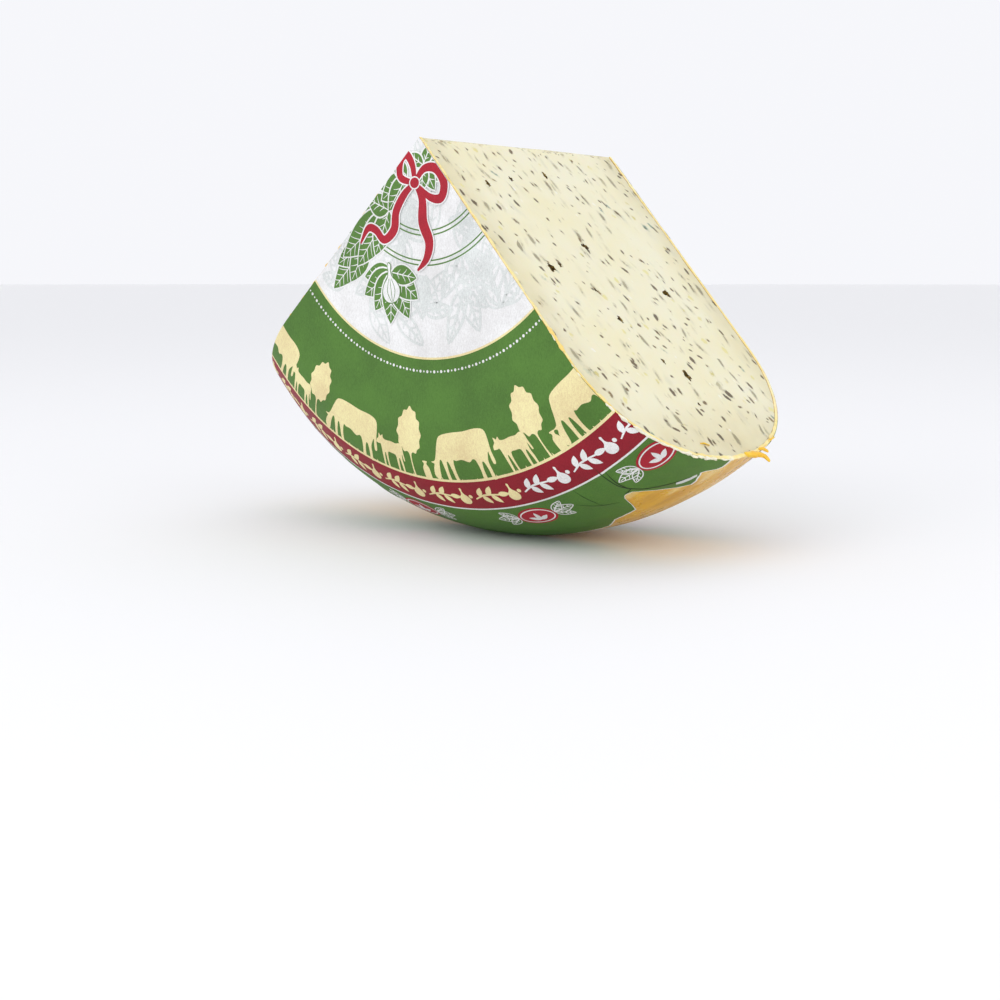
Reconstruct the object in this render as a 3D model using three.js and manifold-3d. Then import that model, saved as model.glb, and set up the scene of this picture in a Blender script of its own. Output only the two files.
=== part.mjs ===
// Herb cheese wedge: a quarter of a coated, labelled wheel, standing on its rounded rim, point up.
// Millimetres, +Z up. The wheel's axis lies along Y and the front label faces -Y.

import * as THREE from 'three';
import { mergeVertices } from 'three/addons/utils/BufferGeometryUtils.js';
import Module from 'manifold-3d';

const wasm = await Module();
wasm.setup();

// Driving dimensions of the whole wheel and of the cut.
const WHEEL_RADIUS = 125;
const WHEEL_HEIGHT = 96;
const FLAT_RADIUS = 84; // the flat of each face ends here and the round rim begins
const RIM_FULLNESS = 2.1; // 2 rounds the rim as an ellipse, larger is squarer
const SECTOR_ANGLE = 90;
const HANG_ANGLE = 3.25; // the wedge's middle line hangs this far left of straight down
const POINT_OFFSET = new THREE.Vector2(-2.8, 1.2); // where the cuts meet, in X and Z from the axis

// Layers, measured inwards from the outermost surface.
const LABEL_THICKNESS = 0.25;
const LAYER_GAP = 0.3;
const COATING_THICKNESS = 1.1;
const BARE_COATING_DEPTH = 0.1;
const COVERED_COATING_DEPTH = LABEL_THICKNESS + LAYER_GAP;
const COATING_INNER_DEPTH = COVERED_COATING_DEPTH + COATING_THICKNESS;
const PASTE_DEPTH = COATING_INNER_DEPTH + LAYER_GAP;

// Where each label's flange stops on the rim, and how far the rim has settled flat where it stands.
const FRONT_FLANGE_Y = -6;
const BACK_FLANGE_Y = 26;
const SETTLED_FLAT = 0.7;

// Fineness of the facets.
const WHEEL_SEGMENTS = 96;
const QUARTER_STEPS = 11;
const FLAT_STEPS = 3;

const HALF_HEIGHT = WHEEL_HEIGHT / 2;
const RIM_REACH = WHEEL_RADIUS - FLAT_RADIUS;
const RIGHT_CUT = THREE.MathUtils.degToRad(SECTOR_ANGLE / 2 - HANG_ANGLE);
const LEFT_CUT = THREE.MathUtils.degToRad(SECTOR_ANGLE / 2 + HANG_ANGLE);
const LEFT_WAY = new THREE.Vector2(-Math.sin(LEFT_CUT), -Math.cos(LEFT_CUT));
const RIGHT_WAY = new THREE.Vector2(Math.sin(RIGHT_CUT), -Math.cos(RIGHT_CUT));
const AXIS_X = -(rimEnd(LEFT_WAY).x + rimEnd(RIGHT_WAY).x) / 2;
const AXIS_Z = WHEEL_RADIUS - SETTLED_FLAT;

/** Point of the wheel's rim, in X and Z from its axis, that a cut running this way comes out at. */
function rimEnd(way) {
  const along = POINT_OFFSET.dot(way);
  const reach = Math.sqrt(along ** 2 - POINT_OFFSET.lengthSq() + WHEEL_RADIUS ** 2) - along;
  return POINT_OFFSET.clone().addScaledVector(way, reach);
}

/** Radius of the outermost surface at distance y from the wheel's middle plane. */
function radiusAt(y, depth = 0) {
  const share = Math.min(Math.abs(y) / (HALF_HEIGHT - depth), 1);
  return FLAT_RADIUS + (RIM_REACH - depth) * (1 - share ** RIM_FULLNESS) ** (1 / RIM_FULLNESS);
}

/** Rim curve from the front flat (y < 0) to height yEnd, at a depth inside the outermost surface. */
function rimCurve(depth, yEnd) {
  const half = HALF_HEIGHT - depth;
  const heightAt = (turn) => -half * Math.cos(turn) ** (2 / RIM_FULLNESS);
  const endTurn = Math.acos((Math.abs(yEnd) / half) ** (RIM_FULLNESS / 2));
  const points = [];
  for (let step = 0; step <= QUARTER_STEPS; step++) {
    const y = step === QUARTER_STEPS ? -Math.abs(yEnd) : heightAt((endTurn * step) / QUARTER_STEPS);
    points.push(new THREE.Vector2(radiusAt(y, depth), y));
  }
  return points;
}

/** Section of one face from the axis out over the shoulder to height yEnd (negative: front). */
function faceCurve(depth, yEnd) {
  const points = [];
  for (let step = 0; step < FLAT_STEPS; step++) {
    points.push(new THREE.Vector2((FLAT_RADIUS * step) / FLAT_STEPS, -(HALF_HEIGHT - depth)));
  }
  points.push(...rimCurve(depth, yEnd));
  return points;
}

/** The same section turned over to the back face, running from the rim in to the axis. */
function backCurve(depth, yEnd) {
  const mirrored = faceCurve(depth, yEnd).map((point) => new THREE.Vector2(point.x, -point.y));
  return mirrored.reverse();
}

/** Closed solid of a lathe or extrusion, with its shared vertices merged. */
function toSolid(geometry) {
  const bare = geometry.index ? geometry.toNonIndexed() : geometry.clone();
  bare.deleteAttribute('normal');
  bare.deleteAttribute('uv');
  const merged = mergeVertices(bare, 1e-4);
  const source = merged.index.array;
  const kept = [];
  for (let i = 0; i < source.length; i += 3) {
    const [a, b, c] = [source[i], source[i + 1], source[i + 2]];
    if (a !== b && b !== c && c !== a) kept.push(a, b, c);
  }
  const mesh = new wasm.Mesh({
    numProp: 3,
    vertProperties: new Float32Array(merged.attributes.position.array),
    triVerts: new Uint32Array(kept),
  });
  return new wasm.Manifold(mesh);
}

/** Whole turned body about the Y axis from a section that starts and ends on the axis. */
function turned(section) {
  return toSolid(new THREE.LatheGeometry(section, WHEEL_SEGMENTS));
}

/** The prism that the two straight cuts leave, with its edge beside the wheel's axis. */
function sectorPrism() {
  const reach = WHEEL_RADIUS * 1.6;
  const corner = (way) => POINT_OFFSET.clone().addScaledVector(way, reach);
  const outline = new THREE.Shape([
    POINT_OFFSET,
    corner(LEFT_WAY),
    new THREE.Vector2(0, -reach),
    corner(RIGHT_WAY),
  ]);
  const prism = new THREE.ExtrudeGeometry(outline, { depth: WHEEL_HEIGHT * 2, bevelEnabled: false });
  prism.translate(0, 0, -WHEEL_HEIGHT);
  prism.rotateX(Math.PI / 2);
  return toSolid(prism);
}

/** Presses the lowest part of the rim flat, each layer keeping its own depth above the floor. */
function settle(position) {
  for (let i = 0; i < position.count; i++) {
    const [x, y, z] = [position.getX(i), position.getY(i), position.getZ(i)];
    const depth = Math.max(radiusAt(y) - Math.hypot(x, z), 0);
    const floor = depth - AXIS_Z;
    if (z < floor) position.setZ(i, floor);
  }
}

/** Cuts a turned body to the wedge, settles it, stands it up and names it. */
function wedgePiece(name, wheelBody, colour, roughness) {
  const { vertProperties, triVerts } = wheelBody.intersect(sectorPrism()).getMesh();
  const geometry = new THREE.BufferGeometry();
  geometry.setAttribute('position', new THREE.BufferAttribute(vertProperties, 3));
  geometry.setIndex(new THREE.BufferAttribute(triVerts, 1));
  settle(geometry.attributes.position);
  geometry.computeVertexNormals();
  const material = new THREE.MeshStandardMaterial({ color: colour, roughness, metalness: 0 });
  const mesh = new THREE.Mesh(geometry, material);
  mesh.name = name;
  mesh.position.set(AXIS_X, 0, AXIS_Z);
  return mesh;
}

/** The cheese itself, inside its coating. */
function paste() {
  return turned([...faceCurve(PASTE_DEPTH, 0), ...backCurve(PASTE_DEPTH, 0).slice(1)]);
}

/** Outside of the coating: set back under the labels, fuller on the bare belt between them. */
function coatingOutside() {
  const front = faceCurve(COVERED_COATING_DEPTH, FRONT_FLANGE_Y - LAYER_GAP);
  const back = backCurve(COVERED_COATING_DEPTH, BACK_FLANGE_Y + LAYER_GAP);
  const belt = [];
  const beltSteps = 2 * QUARTER_STEPS - 2;
  const [beltFront, beltBack] = [FRONT_FLANGE_Y + LAYER_GAP, BACK_FLANGE_Y - LAYER_GAP];
  for (let step = 0; step <= beltSteps; step++) {
    const y = beltFront + ((beltBack - beltFront) * step) / beltSteps;
    belt.push(new THREE.Vector2(radiusAt(y, BARE_COATING_DEPTH), y));
  }
  return turned([...front, ...belt, ...back]);
}

/** The coating: its outside less the room for the cheese. */
function coating() {
  const depth = COATING_INNER_DEPTH;
  const inside = turned([...faceCurve(depth, 0), ...backCurve(depth, 0).slice(1)]);
  return coatingOutside().subtract(inside);
}

/** A paper label: a thin dish over one face with a flange that wraps over the shoulder. */
function frontLabel() {
  const outer = faceCurve(0, FRONT_FLANGE_Y);
  const inner = faceCurve(LABEL_THICKNESS, FRONT_FLANGE_Y).reverse();
  return turned([...outer, ...inner]);
}

function backLabel() {
  const outer = backCurve(0, BACK_FLANGE_Y);
  const inner = backCurve(LABEL_THICKNESS, BACK_FLANGE_Y).reverse();
  return turned([...inner, ...outer]);
}

const wedge = new THREE.Group();
wedge.add(wedgePiece('cheese_paste', paste(), '#ede2b8', 0.45));
wedge.add(wedgePiece('yellow_coating', coating(), '#eeb13a', 0.35));
wedge.add(wedgePiece('front_label', frontLabel(), '#4c7c35', 0.6));
wedge.add(wedgePiece('back_label', backLabel(), '#4c7c35', 0.6));

export default wedge;
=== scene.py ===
"""A wedge of herb cheese: a quarter of a coated, labelled wheel, standing on its rim, point up.

The wheel's axis lies along Y. Places on the wheel are given by the arc, the distance over the
surface from the axis, and by the bearing, the angle from straight down, positive towards +X.
Label artwork is laid out flat, as the printer sees it, and then wrapped over the wheel.
"""

import logging
import math
import random
from bisect import bisect_right
from dataclasses import dataclass, field
from enum import Enum
from typing import Sequence

import bmesh
import bpy
from mathutils import Matrix, Vector, noise


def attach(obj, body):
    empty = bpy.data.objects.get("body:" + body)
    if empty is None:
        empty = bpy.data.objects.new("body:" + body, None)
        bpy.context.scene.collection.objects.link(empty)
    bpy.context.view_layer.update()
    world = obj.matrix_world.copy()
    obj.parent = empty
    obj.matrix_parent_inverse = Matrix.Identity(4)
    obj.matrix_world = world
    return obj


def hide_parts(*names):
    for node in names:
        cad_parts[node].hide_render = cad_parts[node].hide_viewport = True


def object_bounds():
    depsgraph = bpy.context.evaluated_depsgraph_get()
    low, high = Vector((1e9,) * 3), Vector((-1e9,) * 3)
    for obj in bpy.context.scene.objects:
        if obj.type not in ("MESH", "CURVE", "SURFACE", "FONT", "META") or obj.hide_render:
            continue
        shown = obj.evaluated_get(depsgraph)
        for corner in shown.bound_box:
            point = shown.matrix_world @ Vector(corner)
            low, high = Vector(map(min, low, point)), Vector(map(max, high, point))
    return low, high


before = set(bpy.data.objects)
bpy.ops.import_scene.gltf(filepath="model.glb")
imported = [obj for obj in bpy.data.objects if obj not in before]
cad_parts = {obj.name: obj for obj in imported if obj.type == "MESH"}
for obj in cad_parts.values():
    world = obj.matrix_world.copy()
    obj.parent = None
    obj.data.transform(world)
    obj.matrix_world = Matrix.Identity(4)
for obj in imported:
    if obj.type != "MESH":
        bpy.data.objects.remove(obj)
CAD_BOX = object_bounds()

LOG = logging.getLogger("cheese_wedge")
MM = 0.001
BODY = "root"
Tint = tuple[float, float, float]
Outline = list[Vector]


# ---------------------------------------------------------------- the wheel's shape


class Side(Enum):
    """A face of the wheel: the front one looks along -Y, the back one along +Y."""

    FRONT = -1
    BACK = 1


@dataclass
class WheelShape:
    """Outermost surface of the whole wheel, and the two cuts that leave the wedge."""

    radius: float = 125 * MM
    half_height: float = 48 * MM
    flat_radius: float = 84 * MM
    fullness: float = 2.1
    settled: float = 0.7 * MM
    point_offset: tuple[float, float] = (-2.8 * MM, 1.2 * MM)
    left_cut: float = math.radians(48.25)
    right_cut: float = math.radians(41.75)
    swept: tuple[float, float] = (math.radians(-118), math.radians(50))
    samples: int = 400
    arcs: list[float] = field(init=False)
    curve: list[tuple[float, float]] = field(init=False)

    def __post_init__(self) -> None:
        """Works out the section's arc lengths and the place of the wheel's axis."""
        reach = self.radius - self.flat_radius
        power = 2 / self.fullness
        self.curve = [(0.0, self.half_height)]
        for step in range(self.samples + 1):
            turn = math.pi / 2 * step / self.samples
            rho = self.flat_radius + reach * math.sin(turn) ** power
            self.curve.append((rho, self.half_height * max(math.cos(turn), 0.0) ** power))
        self.arcs = [0.0]
        for before, after in zip(self.curve, self.curve[1:]):
            self.arcs.append(self.arcs[-1] + math.dist(before, after))
        low, high = CAD_BOX
        ends = [self._rim_end(way).x for way in (self.way(-1), self.way(1))]
        self.axis = Vector(((low[0] + high[0]) / 2 - sum(ends) / 2, 0.0, self.radius - self.settled))
        self.point = self.axis + Vector((self.point_offset[0], 0.0, self.point_offset[1]))

    def way(self, hand: int) -> Vector:
        """Direction down a cut from the wedge's point: hand 1 is the right cut, -1 the left."""
        angle = self.right_cut if hand > 0 else self.left_cut
        return Vector((hand * math.sin(angle), 0.0, -math.cos(angle)))

    def outward(self, hand: int) -> Vector:
        """Outward normal of a cut."""
        way = self.way(hand)
        return Vector((-way.z * hand, 0.0, way.x * hand))

    def _rim_end(self, way: Vector) -> Vector:
        """Where a cut that runs this way leaves the rim, seen from the axis.

        Args:
            way: Direction down the cut.

        Returns:
            The place.
        """
        start = Vector((self.point_offset[0], 0.0, self.point_offset[1]))
        along = start.dot(way)
        reach = math.sqrt(along**2 - start.length_squared + self.radius**2) - along
        return start + way * reach

    @property
    def crown_arc(self) -> float:
        """Arc from the axis to the middle of the rim."""
        return self.arcs[-1]

    def section(self, arc: float, lift: float = 0.0) -> tuple[float, float]:
        """Radius and height off the middle plane at an arc, lifted off the surface.

        Args:
            arc: Distance over the surface from the axis.
            lift: Distance outwards along the surface's normal, negative inside.

        Returns:
            The radius from the axis and the height off the middle plane.
        """
        arc = min(max(arc, 0.0), self.crown_arc)
        index = min(max(bisect_right(self.arcs, arc), 1), len(self.arcs) - 1)
        share = (arc - self.arcs[index - 1]) / max(self.arcs[index] - self.arcs[index - 1], 1e-9)
        (rho_a, out_a), (rho_b, out_b) = self.curve[index - 1], self.curve[index]
        run = math.hypot(rho_b - rho_a, out_b - out_a)
        normal = ((out_a - out_b) / run, (rho_b - rho_a) / run)
        if arc >= self.crown_arc - 1e-9:
            normal = (1.0, 0.0)
        rho = rho_a + (rho_b - rho_a) * share + normal[0] * lift
        return rho, out_a + (out_b - out_a) * share + normal[1] * lift

    def under_surface(self, depth: float, spacing: float) -> list[tuple[float, float]]:
        """Section from the front of the axis, over the rim, to the back of the axis.

        Args:
            depth: How deep it lies under the wheel's outermost surface.
            spacing: About how far apart its points are.

        Returns:
            Its points: the radius from the axis, and the place along Y.
        """
        count = round(self.crown_arc / spacing)
        front = [self.section(self.crown_arc * step / count, -depth) for step in range(count + 1)]
        return [(rho, -out) for rho, out in front] + list(reversed(front[:-1]))

    def arc_at(self, height: float) -> float:
        """Arc of the place on the rim that is this high off the middle plane."""
        heights = [-out for _, out in self.curve]
        return self.arcs[bisect_right(heights, -abs(height)) - 1]

    def place(self, side: Side, arc: float, bearing: float, lift: float = 0.0) -> Vector:
        """Point on the wheel, pressed flat where the rim stands.

        Args:
            side: Face that the arc is measured over.
            arc: Distance over the surface from the axis.
            bearing: Angle from straight down.
            lift: Distance outwards, negative inside.

        Returns:
            The point, in metres.
        """
        rho, out = self.section(arc, lift)
        x = self.axis.x + rho * math.sin(bearing)
        z = self.axis.z - rho * math.cos(bearing)
        return Vector((x, side.value * out, max(z, -lift)))

    def cut_spot(self, hand: int, side: Side, arc: float, lift: float = 0.0) -> Vector:
        """Point of a cut's outline at an arc over one face.

        Args:
            hand: 1 for the right cut, -1 for the left.
            side: Face that the arc is measured over.
            arc: Distance over the surface from the axis.
            lift: Distance outwards, negative inside.

        Returns:
            The point.
        """
        rho, out = self.section(arc, lift)
        start, way = self.point - self.axis, self.way(hand)
        along = start.dot(way)
        spot = self.point + way * (math.sqrt(along**2 - start.length_squared + rho**2) - along)
        return Vector((spot.x, side.value * out, spot.z))

    def below_axis(self, mesh: bmesh.types.BMesh, rho: float, y: float) -> bmesh.types.BMVert:
        """Adds a vertex straight below the wheel's axis."""
        return mesh.verts.new((self.axis.x, y, self.axis.z - rho))

    def bearing(self, spot: Vector) -> float:
        """Bearing of a point."""
        return math.atan2(spot.x - self.axis.x, self.axis.z - spot.z)


# ---------------------------------------------------------------- mesh helpers


STRAND_SIDES = 8
STRAND_TIP = 0.35
STRAND_LUMPS = 0.35


def linked(name: str, data: bpy.types.ID) -> bpy.types.Object:
    """Puts a new object that shows this data into the scene.

    Args:
        name: Name of the object.
        data: Mesh, lamp or camera.

    Returns:
        The object.
    """
    thing = bpy.data.objects.new(name, data)
    bpy.context.scene.collection.objects.link(thing)
    return thing


def mesh_data(name: str, mesh: bmesh.types.BMesh) -> bpy.types.Mesh:
    """Turns a bmesh into mesh data, and frees it.

    Args:
        name: Name of the data.
        mesh: The bmesh.

    Returns:
        The mesh data.
    """
    data = bpy.data.meshes.new(name)
    mesh.to_mesh(data)
    mesh.free()
    return data


def finished(name: str, mesh: bmesh.types.BMesh, slots: Sequence[bpy.types.Material],
             sharp: float = 40.0) -> bpy.types.Object:
    """Turns a bmesh into a piece of the object.

    Args:
        name: Piece name.
        mesh: The bmesh, which is freed.
        slots: Materials, in slot order.
        sharp: Edges that turn more than this many degrees are shaded sharp.

    Returns:
        The new object, riding on the wedge's body.
    """
    data = mesh_data(name, mesh)
    for material in slots:
        data.materials.append(material)
    data.shade_smooth()
    data.set_sharp_from_angle(angle=math.radians(sharp))
    piece = linked(name, data)
    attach(piece, BODY)
    return piece


def turn_about_axis(mesh: bmesh.types.BMesh, shape: WheelShape, chain: Sequence[bmesh.types.BMVert],
                    step: float, whole: bool = False) -> None:
    """Turns a section round the wheel's axis.

    Args:
        mesh: Bmesh that holds the section.
        shape: The wheel.
        chain: The section's vertices in order, straight below the axis.
        step: Bearing between two copies of the section.
        whole: Whether it goes all the way round, and not only through the bearings that the cuts leave.
    """
    first, last = (-math.pi, math.pi) if whole else shape.swept
    bmesh.ops.rotate(mesh, verts=chain, cent=shape.axis, matrix=Matrix.Rotation(-first, 3, "Y"))
    edges = [mesh.edges.new(pair) for pair in zip(chain, chain[1:])]
    bmesh.ops.spin(mesh, geom=[*chain, *edges], cent=shape.axis, axis=(0, -1, 0), angle=last - first,
                   steps=math.ceil((last - first) / step), use_merge=whole)
    bmesh.ops.remove_doubles(mesh, verts=mesh.verts, dist=1e-6)


def cut_to_wedge(mesh: bmesh.types.BMesh, shape: WheelShape, closed: bool) -> None:
    """Makes the two straight cuts and drops what lies outside them.

    Args:
        mesh: Bmesh of the whole wheel's piece.
        shape: The wheel.
        closed: Whether each cut gets a face over it.
    """
    for hand in (1, -1):
        geometry = mesh.verts[:] + mesh.edges[:] + mesh.faces[:]
        cut = bmesh.ops.bisect_plane(mesh, geom=geometry, plane_co=shape.point,
                                     plane_no=shape.outward(hand), clear_outer=True)
        if closed:
            edges = [part for part in cut["geom_cut"] if isinstance(part, bmesh.types.BMEdge)]
            bmesh.ops.edgeloop_fill(mesh, edges=edges)


def face_outwards(mesh: bmesh.types.BMesh, shape: WheelShape) -> None:
    """Makes every face of an open skin look away from the wheel's middle.

    Args:
        mesh: Bmesh of the skin.
        shape: The wheel.
    """
    for face in mesh.faces:
        centre = face.calc_center_median()
        middle = Vector((centre.x, 0.0, centre.z)).lerp(shape.axis, 0.5)
        if face.normal.dot(centre - middle) < 0:
            face.normal_flip()


def sweep_strand(mesh: bmesh.types.BMesh, nodes: Sequence[tuple[Vector, float]], flatness: float) -> None:
    """Adds a closed strand.

    Args:
        mesh: Bmesh that gets the strand.
        nodes: Its centres and widths, in order.
        flatness: Its thickness as a share of its width.
    """
    rings = []
    last = len(nodes) - 1
    for index, (centre, width) in enumerate(nodes):
        heading = nodes[min(index + 1, last)][0] - nodes[max(index - 1, 0)][0]
        turn = heading.to_track_quat("Z", "Y").to_matrix()
        radius = width / 2 * (STRAND_TIP if index in (0, last) else 1.0)
        ring = bmesh.ops.create_circle(mesh, segments=STRAND_SIDES, radius=radius, cap_ends=False)["verts"]
        for vert in ring:
            flat = Vector((vert.co.x, vert.co.y * flatness, 0.0))
            lump = noise.noise(centre * 900 + flat * 1500)
            vert.co = centre + turn @ (flat * (1 + STRAND_LUMPS * lump))
        rings.append(list(dict.fromkeys(edge for vert in ring for edge in vert.link_edges)))
    for first, second in zip(rings, rings[1:]):
        bmesh.ops.bridge_loops(mesh, edges=first + second)
    for end in (rings[0], rings[-1]):
        bmesh.ops.edgeloop_fill(mesh, edges=end)


def spline(points: Sequence[Sequence[float]], steps: int) -> list[tuple[float, ...]]:
    """Smooth curve through the points.

    Args:
        points: Points of any size, all alike.
        steps: Steps between two points.

    Returns:
        The points of the curve, both ends included.
    """
    padded = [points[0], *points, points[-1]]
    curve = []
    for before, start, end, after in zip(padded, padded[1:], padded[2:], padded[3:]):
        for step in range(steps):
            t = step / steps
            curve.append(tuple(
                0.5 * (2 * q + (r - p) * t + (2 * p - 5 * q + 4 * r - s) * t**2
                       + (3 * q - p - 3 * r + s) * t**3)
                for p, q, r, s in zip(before, start, end, after)))
    curve.append(tuple(points[-1]))
    return curve


# ---------------------------------------------------------------- materials


class Graph:
    """Shorthand for one material's nodes."""

    def __init__(self, name: str) -> None:
        """Starts a material that holds only its Principled shader.

        Args:
            name: The material's name.
        """
        self.material = bpy.data.materials.new(name)
        self.material.use_nodes = True
        self.tree = self.material.node_tree
        self.shader = self.tree.nodes["Principled BSDF"]

    def node(self, kind: str, settings: dict | None = None, **inputs: object) -> bpy.types.Node:
        """Adds a node.

        Args:
            kind: Node type, without its ShaderNode prefix.
            settings: Properties of the node itself.
            **inputs: Input sockets by name with spaces as underscores, given a socket or a value.

        Returns:
            The node.
        """
        node = self.tree.nodes.new("ShaderNode" + kind)
        for key, value in (settings or {}).items():
            setattr(node, key, value)
        for key, value in inputs.items():
            self.feed(node.inputs[key.replace("_", " ")], value)
        return node

    def feed(self, socket: bpy.types.NodeSocket, value: object) -> None:
        """Links a socket to another, or sets its value.

        Args:
            socket: Input socket.
            value: Output socket, number or colour.
        """
        if isinstance(value, bpy.types.NodeSocket):
            self.tree.links.new(value, socket)
        elif isinstance(value, tuple) and len(value) == 3 and socket.type == "RGBA":
            socket.default_value = (*value, 1.0)
        else:
            socket.default_value = value

    def maths(self, operation: str, *values: object) -> bpy.types.NodeSocket:
        """Adds a Math node and returns its result.

        Args:
            operation: The node's operation.
            *values: Sockets or numbers.

        Returns:
            Its output socket.
        """
        node = self.node("Math", {"operation": operation})
        for socket, value in zip(node.inputs, values):
            self.feed(socket, value)
        return node.outputs[0]

    def ramp(self, value: object, low: float, high: float, start: float = 0.0,
             end: float = 1.0) -> bpy.types.NodeSocket:
        """Maps low..high smoothly onto start..end, and holds it beyond.

        Args:
            value: Socket.
            low: Value that gives start.
            high: Value that gives end.
            start: Lowest result.
            end: Highest result.

        Returns:
            Its output socket.
        """
        node = self.node("MapRange", {"interpolation_type": "SMOOTHSTEP"}, Value=value,
                         From_Min=low, From_Max=high, To_Min=start, To_Max=end)
        return node.outputs["Result"]

    def mix(self, share: object, first: object, second: object) -> bpy.types.NodeSocket:
        """Mixes two colours.

        Args:
            share: Share of the second.
            first: Colour.
            second: Colour.

        Returns:
            Its output socket.
        """
        node = self.node("Mix", {"data_type": "RGBA"})
        for socket, value in zip((node.inputs[0], node.inputs[6], node.inputs[7]),
                                 (share, first, second)):
            self.feed(socket, value)
        return node.outputs[2]

    def noise(self, where: object, scale: float, detail: float = 3.0,
              roughness: float = 0.55) -> bpy.types.NodeSocket:
        """Adds a noise texture, with its scale in features per metre, and returns its value."""
        node = self.node("TexNoise", Vector=where, Scale=scale, Detail=detail, Roughness=roughness)
        return node.outputs["Fac"]

    def object_place(self) -> bpy.types.NodeSocket:
        """Object coordinates, in metres."""
        return self.node("TexCoord").outputs["Object"]

    def turned_place(self, centre: Vector) -> tuple[bpy.types.NodeSocket, ...]:
        """Distance from a line along Y, y, and bearing about it, all from object coordinates.

        Args:
            centre: Point that the line runs through.

        Returns:
            The three sockets.
        """
        moved = self.node("Mapping", Vector=self.object_place(), Location=-centre)
        parts = self.node("SeparateXYZ", Vector=moved.outputs[0])
        x, y, z = parts.outputs
        squares = self.maths("ADD", self.maths("MULTIPLY", x, x), self.maths("MULTIPLY", z, z))
        bearing = self.maths("ARCTAN2", x, self.maths("MULTIPLY", z, -1.0))
        return self.maths("SQRT", squares), y, bearing

    def surface(self, **inputs: object) -> None:
        """Sets or links the shader's own sockets."""
        for key, value in inputs.items():
            self.feed(self.shader.inputs[key.replace("_", " ")], value)

    def relief(self, height: object, distance: float, strength: float = 1.0) -> None:
        """Gives the shader a bump."""
        node = self.node("Bump", Strength=strength, Distance=distance, Height=height)
        self.feed(self.shader.inputs["Normal"], node.outputs[0])


@dataclass(frozen=True)
class Flecks:
    """One scatter of long flecks, each a core with a paler fringe; most lie in the cheese, and one white
    scatter is painted highlights.
    """

    spacing: tuple[float, float, float]
    present: float
    reach: tuple[float, float]
    edge: float
    fringe: float
    strength: float
    dark: Tint
    light: Tint
    turn: float = 0.20


HERB_FLECKS_AND_HIGHLIGHTS = (
    Flecks((9.0 * MM, 3.4 * MM, 5.0 * MM), 0.30, (0.12, 0.36), 0.20, 0.10, 0.26,
           (0.45, 0.46, 0.38), (0.62, 0.61, 0.46), 0.16),
    Flecks((7.0 * MM, 2.4 * MM, 4.6 * MM), 0.27, (0.16, 0.38), 0.09, 0.18, 0.70,
           (0.115, 0.088, 0.040), (0.38, 0.34, 0.19), 0.12),
    Flecks((4.8 * MM, 2.1 * MM, 3.8 * MM), 0.29, (0.12, 0.34), 0.045, 0.12, 0.90,
           (0.044, 0.021, 0.005), (0.200, 0.122, 0.032), 0.26),
    Flecks((3.2 * MM, 1.9 * MM, 2.8 * MM), 0.15, (0.11, 0.30), 0.05, 0.10, 0.92,
           (0.044, 0.019, 0.004), (0.24, 0.150, 0.040), 0.75),
    Flecks((6.0 * MM, 4.4 * MM, 6.0 * MM), 0.34, (0.08, 0.23), 0.035, 0.05, 0.66,
           (0.54, 0.46, 0.08), (0.74, 0.67, 0.24), 0.5),
    # White flecks: painted highlights on the cheese, not a colour of its own.
    Flecks((4.6 * MM, 3.3 * MM, 5.0 * MM), 0.16, (0.08, 0.19), 0.04, 0.05, 0.50,
           (0.90, 0.90, 0.84), (0.94, 0.93, 0.88), 0.4),
    Flecks((6.4 * MM, 3.0 * MM, 5.0 * MM), 0.045, (0.14, 0.28), 0.06, 0.10, 0.80,
           (0.06, 0.15, 0.11), (0.22, 0.38, 0.30), 0.3),
)


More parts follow.
